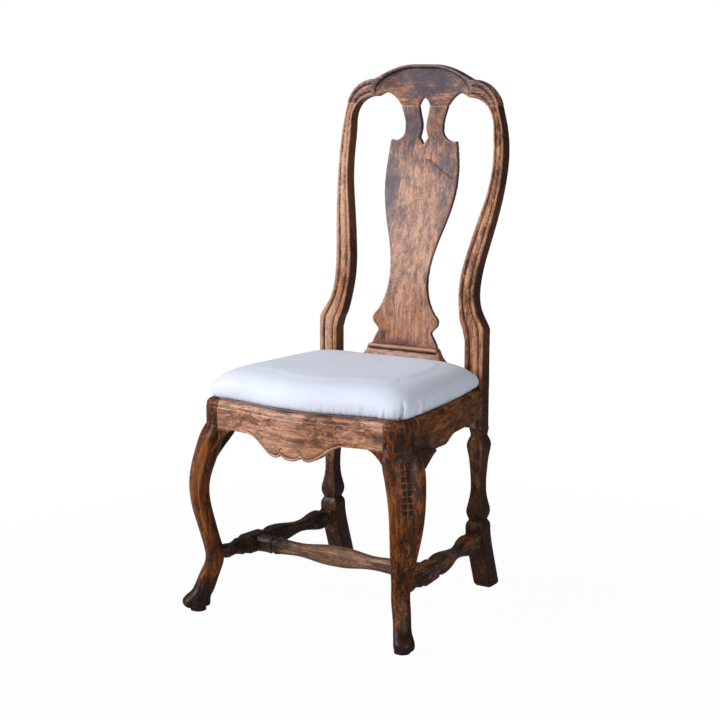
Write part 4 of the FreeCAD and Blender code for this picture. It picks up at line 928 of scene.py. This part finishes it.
@dataclass(frozen=True)
class Pleat:
    """A tuck pressed into the cushion's side: where its foot is, which way it faces and how it leans."""

    foot: Pair
    faces: Pair
    depth: float
    half: float
    top: float
    lean: float = 0.0
    base: float = 0.432
    reach: float = 0.035
    fade: float = 0.012
    sharp: float = 0.55
    swell: float = 0.35
    swell_at: float = 3.2
    swell_half: float = 2.2

    def moves(self, points: Array) -> Array:
        """Press the tuck in, with a swell beside it.

        Args:
            points: The cushion's points.

        Returns:
            The way each point moves.
        """
        facing = np.array(self.faces) / math.hypot(*self.faces)
        along = (-facing[1], facing[0])
        flat = points[:, :2] - self.foot
        rise = points[:, 2] - self.base
        run = flat @ along - self.lean * rise
        near = step(self.reach - np.abs(flat @ facing), 0.0, self.fade)
        near = near * step(self.top - points[:, 2], 0.0, 0.5 * (self.top - self.base))
        sharp = np.where(run < 0, self.half, self.sharp * self.half)
        fold = -self.depth * np.exp(-(run / sharp) ** 2)
        beside = (run - self.swell_at * self.half) / (self.swell_half * self.half)
        swell = self.swell * self.depth * np.exp(-beside ** 2)
        move = np.zeros_like(points)
        move[:, :2] = ((fold + swell) * near)[:, None] * facing
        return move


SEAT_FRAME = {"seat_frame_front": Grain.ACROSS, "seat_frame_rear": Grain.ACROSS,
              "seat_frame_left": Grain.FORE_AFT, "seat_frame_right": Grain.FORE_AFT}
SWELL = {"quality": 5, "mass": 0.25, "tension_stiffness": 20.0, "compression_stiffness": 12.0,
         "shear_stiffness": 6.0, "bending_stiffness": 0.4, "use_pressure": True,
         "uniform_pressure_force": 4.0, "vertex_group_mass": "tacked"}


@dataclass
class DropInSeat:
    """The loose seat: a lapped frame, webbing, hessian and a stuffed cushion under muslin."""

    voxel: float = 5.0 * MM
    shrink: float = 2.0 * MM
    cover: float = 1.8 * MM
    reach: float = 3.2 * MM
    rim: float = 0.4305
    dome: Pair = (0.438, 0.478)
    easing: int = 260
    tacked_band: float = 0.003
    free_band: Pair = (0.004, 0.012)
    swell_frames: int = 20
    wave_length: float = 0.07
    wave_height: float = 2.0 * MM
    wave_level: float = 0.6
    pleat_reach: float = 0.045
    puckers: Sequence[Pair] = ((71, 0.0), (113, 1.3), (167, 0.4))
    pucker_centre: float = -0.04
    pucker_height: float = 0.25 * MM
    pucker_top: float = 0.456
    pucker_fade: Pair = (0.004, 0.02)
    strap_half: float = 0.025
    strap_thick: float = 1.1 * MM
    strap_faces: tuple[int, int] = (90, 14)
    weave_height: float = 0.75 * MM
    weave_reach: float = 0.026
    cross_straps: Sequence[float] = (-0.125, -0.040, 0.045)
    cross_half: float = 0.175
    cross_taper: float = 0.005
    long_straps: Sequence[float] = (-0.092, 0.0, 0.092)
    long_half: float = 0.159
    long_middle: float = -0.041
    tack_head: Point = (4.2 * MM, 4.2 * MM, 1.5 * MM)
    tack_height: float = 0.4110
    tack_rows: Sequence[tuple[Pair, Pair, int]] = (
        ((-0.165, -0.1785), (0.165, -0.1785), 9), ((-0.12, 0.1165), (0.12, 0.1165), 7),
        ((-0.181, -0.155), (-0.154, 0.085), 7), ((0.181, -0.155), (0.154, 0.085), 7))
    pleats: Sequence[Pleat] = (
        Pleat((0.205, -0.197), (0.72, -0.69), 9.0 * MM, 3.0 * MM, 0.470, 0.25),
        Pleat((0.2165, -0.157), (0.97, -0.24), 8.0 * MM, 3.0 * MM, 0.466, 0.35),
        Pleat((0.186, -0.216), (0.4, -0.92), 2.0 * MM, 3.0 * MM, 0.456, 0.1),
        Pleat((0.150, -0.232), (0.2, -0.98), 1.5 * MM, 3.0 * MM, 0.456, -0.1),
        Pleat((-0.205, -0.197), (-0.72, -0.69), 3.5 * MM, 2.6 * MM, 0.462, -0.2),
        Pleat((-0.2165, -0.157), (-0.97, -0.24), 3.0 * MM, 2.6 * MM, 0.456, -0.1))

    def build(self) -> None:
        """Build the loose seat."""
        cushion = self.cushion()
        dress(cushion, MUSLIN.material(), Body.SEAT, ("seat_cover", "seat_stuffing"))
        hem = self.hem()
        dress(hem, MUSLIN.material(), Body.SEAT)
        for node, grain in SEAT_FRAME.items():
            Worn([node], grain, RAW_WOOD, "raw_wood", Body.SEAT, voxel=2.2 * MM, uneven=0.3 * MM).build()
        webbing = self.webbing()
        dress(webbing, JUTE.material(), Body.SEAT, ("webbing_straps",))
        hessian = copy_of("hessian_base", "hessian_sheet")
        dress(hessian, HESSIAN.material(), Body.SEAT, ("hessian_base",))
        self.tacks()

    def cushion(self) -> Piece:
        """Blow the stuffed form up under its cloth, then press the pleats in.

        Returns:
            The cushion.
        """
        piece = copy_of("seat_stuffing", "muslin_cushion")
        apply_modifier(piece, "REMESH", mode="VOXEL", voxel_size=self.voxel)
        rest = points_of(piece)
        domed = step(rest[:, 2], *self.dome)[:, None]
        eased = relax(piece, rest, self.easing)
        eased = eased + relax(piece, rest - eased, self.easing)
        rest = relax(piece, rest + domed * (eased - rest), 4)
        put_points(piece, rest)
        normals = normals_of(piece)
        low = rest[:, 2].min()
        put_points(piece, rest + normals * self.cover)
        free = step(rest[:, 2], *(low + height for height in self.free_band))
        put_points(piece, rest - normals * (self.shrink * free)[:, None])
        group = piece.vertex_groups.new(name=SWELL["vertex_group_mass"])
        group.add(np.flatnonzero(rest[:, 2] < low + self.tacked_band).tolist(), 1.0, "REPLACE")
        self.inflate(piece)
        blown = points_of(piece)
        out = np.einsum("ij,ij->i", blown - rest, normals)
        put_points(piece, blown + normals * (np.clip(out, self.cover, self.reach) - out)[:, None])
        ruffle(piece, self.wave_length, 1, self.wave_height, self.wave_level)
        apply_modifier(piece, "SUBSURF", levels=1, render_levels=1)
        self.refine(piece)
        points = points_of(piece)
        for pleat in self.pleats:
            points = points + pleat.moves(points)
        turn = np.arctan2(points[:, 1] - self.pucker_centre, points[:, 0])
        pucker = sum(np.sin(turn * count + start) for count, start in self.puckers)
        foot, top = self.pucker_fade
        side = step(self.pucker_top - points[:, 2], 0.0, top) * step(points[:, 2], self.rim, self.rim + foot)
        points = points + normals_of(piece) * (self.pucker_height * pucker * side)[:, None]
        points[:, 2] = np.maximum(points[:, 2], self.rim)
        put_points(piece, points)
        piece.data.shade_smooth()
        return piece

    def refine(self, piece: Piece) -> None:
        """Divide the faces round the pleats more finely.

        Args:
            piece: The cushion.
        """
        centres = read(piece.data.polygons, "center", 3)
        near = np.zeros(len(centres), dtype=bool)
        for pleat in self.pleats:
            near |= np.hypot(*(centres[:, :2] - pleat.foot).T) < self.pleat_reach
        choose(piece)
        bpy.ops.object.mode_set(mode="EDIT")
        bpy.ops.mesh.select_all(action="DESELECT")
        bpy.ops.object.mode_set(mode="OBJECT")
        piece.data.polygons.foreach_set("select", near)
        bpy.ops.object.mode_set(mode="EDIT")
        bpy.ops.mesh.subdivide()
        bpy.ops.object.mode_set(mode="OBJECT")
        put_points(piece, relax(piece, points_of(piece), 2))

    def inflate(self, piece: Piece) -> None:
        """Let the cloth swell over its stuffing.

        Args:
            piece: The cushion.
        """
        choose(piece)
        cloth = piece.modifiers.new("swell", "CLOTH")
        for name, value in SWELL.items():
            setattr(cloth.settings, name, value)
        cloth.settings.effector_weights.gravity = 0.0
        cloth.collision_settings.use_collision = False
        scene = bpy.context.scene
        for number in range(self.swell_frames):
            scene.frame_set(number + 1)
        bpy.ops.object.modifier_apply(modifier=cloth.name)
        scene.frame_set(1)

    def hem(self) -> Piece:
        """Cut the cover off below the cushion, to leave its upright band and hem.

        Returns:
            The hem.
        """
        piece = copy_of("seat_cover", "muslin_hem")
        bpy.ops.object.mode_set(mode="EDIT")
        bpy.ops.mesh.select_all(action="SELECT")
        bpy.ops.mesh.bisect(plane_co=(0.0, 0.0, self.rim), plane_no=(0.0, 0.0, 1.0), clear_outer=True)
        bpy.ops.mesh.bridge_edge_loops()
        bpy.ops.object.mode_set(mode="OBJECT")
        bpy.ops.object.shade_smooth_by_angle(angle=SMOOTH_ANGLE)
        return piece

    def webbing(self) -> Piece:
        """Build the jute straps, each woven over and under those that cross it.

        Returns:
            The straps, joined.
        """
        low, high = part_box("webbing_straps")
        middle = (low[2] + high[2]) / 2
        pieces = []
        for number, at in enumerate(self.cross_straps):
            half = (self.cross_half - number * self.cross_taper, self.strap_half)
            pieces.append(self.strap(half, (0.0, at, middle), 0, number))
        for number, at in enumerate(self.long_straps):
            half = (self.strap_half, self.long_half)
            pieces.append(self.strap(half, (at, self.long_middle, middle), 1, number + 1))
        return join(pieces, "jute_webbing")

    def strap(self, half: Pair, centre: Point, axis: int, turns: int) -> Piece:
        """Build one strap.

        Args:
            half: Half the strap's size along x and y.
            centre: Its middle.
            axis: The axis of its run, 0 for x and 1 for y.
            turns: Even where it rises at its first crossing, odd where it dips there.

        Returns:
            The strap.
        """
        counts = self.strap_faces[::-1] if axis else self.strap_faces
        crossings = self.cross_straps if axis else self.long_straps
        bpy.ops.mesh.primitive_grid_add(x_subdivisions=counts[0], y_subdivisions=counts[1])
        piece = bpy.context.active_object
        points = points_of(piece) * (*half, 1.0) + centre
        for number, at in enumerate(crossings):
            rise = (-1.0) ** (turns + number) * self.weave_height
            points[:, 2] += rise * np.exp(-((points[:, axis] - at) / self.weave_reach) ** 4)
        put_points(piece, points)
        apply_modifier(piece, "SOLIDIFY", thickness=self.strap_thick, offset=0.0)
        bpy.ops.object.shade_smooth_by_angle(angle=SMOOTH_ANGLE)
        return piece

    def tacks(self) -> None:
        """Build the row of tacks that holds the hem under the seat frame."""
        bpy.ops.mesh.primitive_uv_sphere_add(segments=20, ring_count=12)
        first = bpy.context.active_object
        head = points_of(first) * self.tack_head
        first.data.shade_smooth()
        spots = np.concatenate([np.linspace(start, end, count) for start, end, count in self.tack_rows])
        pieces = []
        for number, (x, y) in enumerate(spots):
            piece = add_object(f"tack_{number}", first.data.copy()) if number else first
            put_points(piece, head + (x, y, self.tack_height))
            pieces.append(piece)
        join(pieces, "hem_tacks")
        dress(first, TACK_IRON.material(), Body.SEAT)


@dataclass
class Studio:
    """A pale floor, soft light from the front left, and the photo's camera."""

    camera_place: Point = (1.7523, -2.8140, 1.0902)
    camera_turn: Point = (math.radians(79.779), 0.0, math.radians(31.922))
    lens_mm: float = 84.785
    sensor_mm: float = 36.0
    target: Point = (0.0, 0.0, 0.5)
    key_place: Point = (-2.7, -2.6, 2.5)
    key_power: float = 210.0
    fill_place: Point = (2.9, -1.6, 1.5)
    fill_power: float = 55.0
    lamp_size: float = 2.4
    sky: float = 0.13
    sky_colour: str = "#f4f6ff"
    white: str = "#ffffff"
    floor_size: float = 60.0
    floor_grey: str = "#b4b4b4"
    floor_glow: float = 0.975
    shadow_reach: Pair = (0.4, 1.3)

    def build(self) -> None:
        """Build the studio."""
        self.floor()
        self.lamps()
        self.world()
        lens = bpy.data.cameras.new("camera")
        lens.lens = self.lens_mm
        lens.sensor_width = self.sensor_mm
        camera = add_object("camera", lens)
        camera.location = self.camera_place
        camera.rotation_euler = self.camera_turn
        bpy.context.scene.camera = camera
        bpy.context.scene.view_settings.view_transform = "Standard"

    def lamps(self) -> None:
        """Hang the two soft lamps that look at the chair."""
        for name, place, power in (("key_light", self.key_place, self.key_power),
                                   ("fill_light", self.fill_place, self.fill_power)):
            lamp = bpy.data.lights.new(name, "AREA")
            lamp.energy = power
            lamp.size = self.lamp_size
            hung = add_object(name, lamp)
            hung.location = place
            look = Vector(self.target) - Vector(place)
            hung.rotation_euler = look.to_track_quat("-Z", "Y").to_euler()

    def floor(self) -> None:
        """Lay a pale floor that keeps the chair's shadow."""
        bpy.ops.mesh.primitive_plane_add(size=self.floor_size)
        plane = bpy.context.active_object
        plane.name = "floor"
        material, add = blank_material("studio_floor")
        # Matt grey to the light; to the camera it is nearly white by itself, and wholly white away from
        # the chair, so that only a soft shadow shows.
        matt = add("BsdfDiffuse", {"Color": paint(self.floor_grey)})
        glow = add("Emission", {"Color": paint(self.white)})
        place = add("TexCoord", {}, "Object")
        away = add("VectorMath", {"operation": "LENGTH", 0: place}, "Value")
        near, far = self.shadow_reach
        share = add("MapRange", {
            "interpolation_type": "SMOOTHSTEP", "Value": away, "From Min": near, "From Max": far,
            "To Min": self.floor_glow})
        seen = add("LightPath", {}, "Is Camera Ray")
        share = add("Math", {"operation": "MULTIPLY", 0: share, 1: seen})
        both = add("MixShader", {0: share, 1: matt, 2: glow})
        add("OutputMaterial", {"Surface": both})
        plane.data.materials.append(material)

    def world(self) -> None:
        """Light the room softly, and show white behind the chair."""
        world = bpy.data.worlds.new("studio")
        bpy.context.scene.world = world
        world.use_nodes = True
        world.node_tree.nodes.clear()
        add = partial(add_node, world.node_tree)
        soft = add("Background", {"Color": paint(self.sky_colour), "Strength": self.sky})
        white = add("Background", {"Color": paint(self.white)})
        seen = add("LightPath", {}, "Is Camera Ray")
        both = add("MixShader", {0: seen, 1: soft, 2: white})
        add("OutputWorld", {"Surface": both})


def main() -> None:
    """Build the chair, sub-assembly by sub-assembly, and the studio round it."""
    logging.basicConfig(level=logging.INFO, format="%(name)s %(message)s")
    for part in (Back(), SeatRails(), FrontLegs(), Stretchers(), DropInSeat()):
        LOG.info("building %s", type(part).__name__)
        part.build()
    Studio().build()


if __name__ == "__main__":
    main()
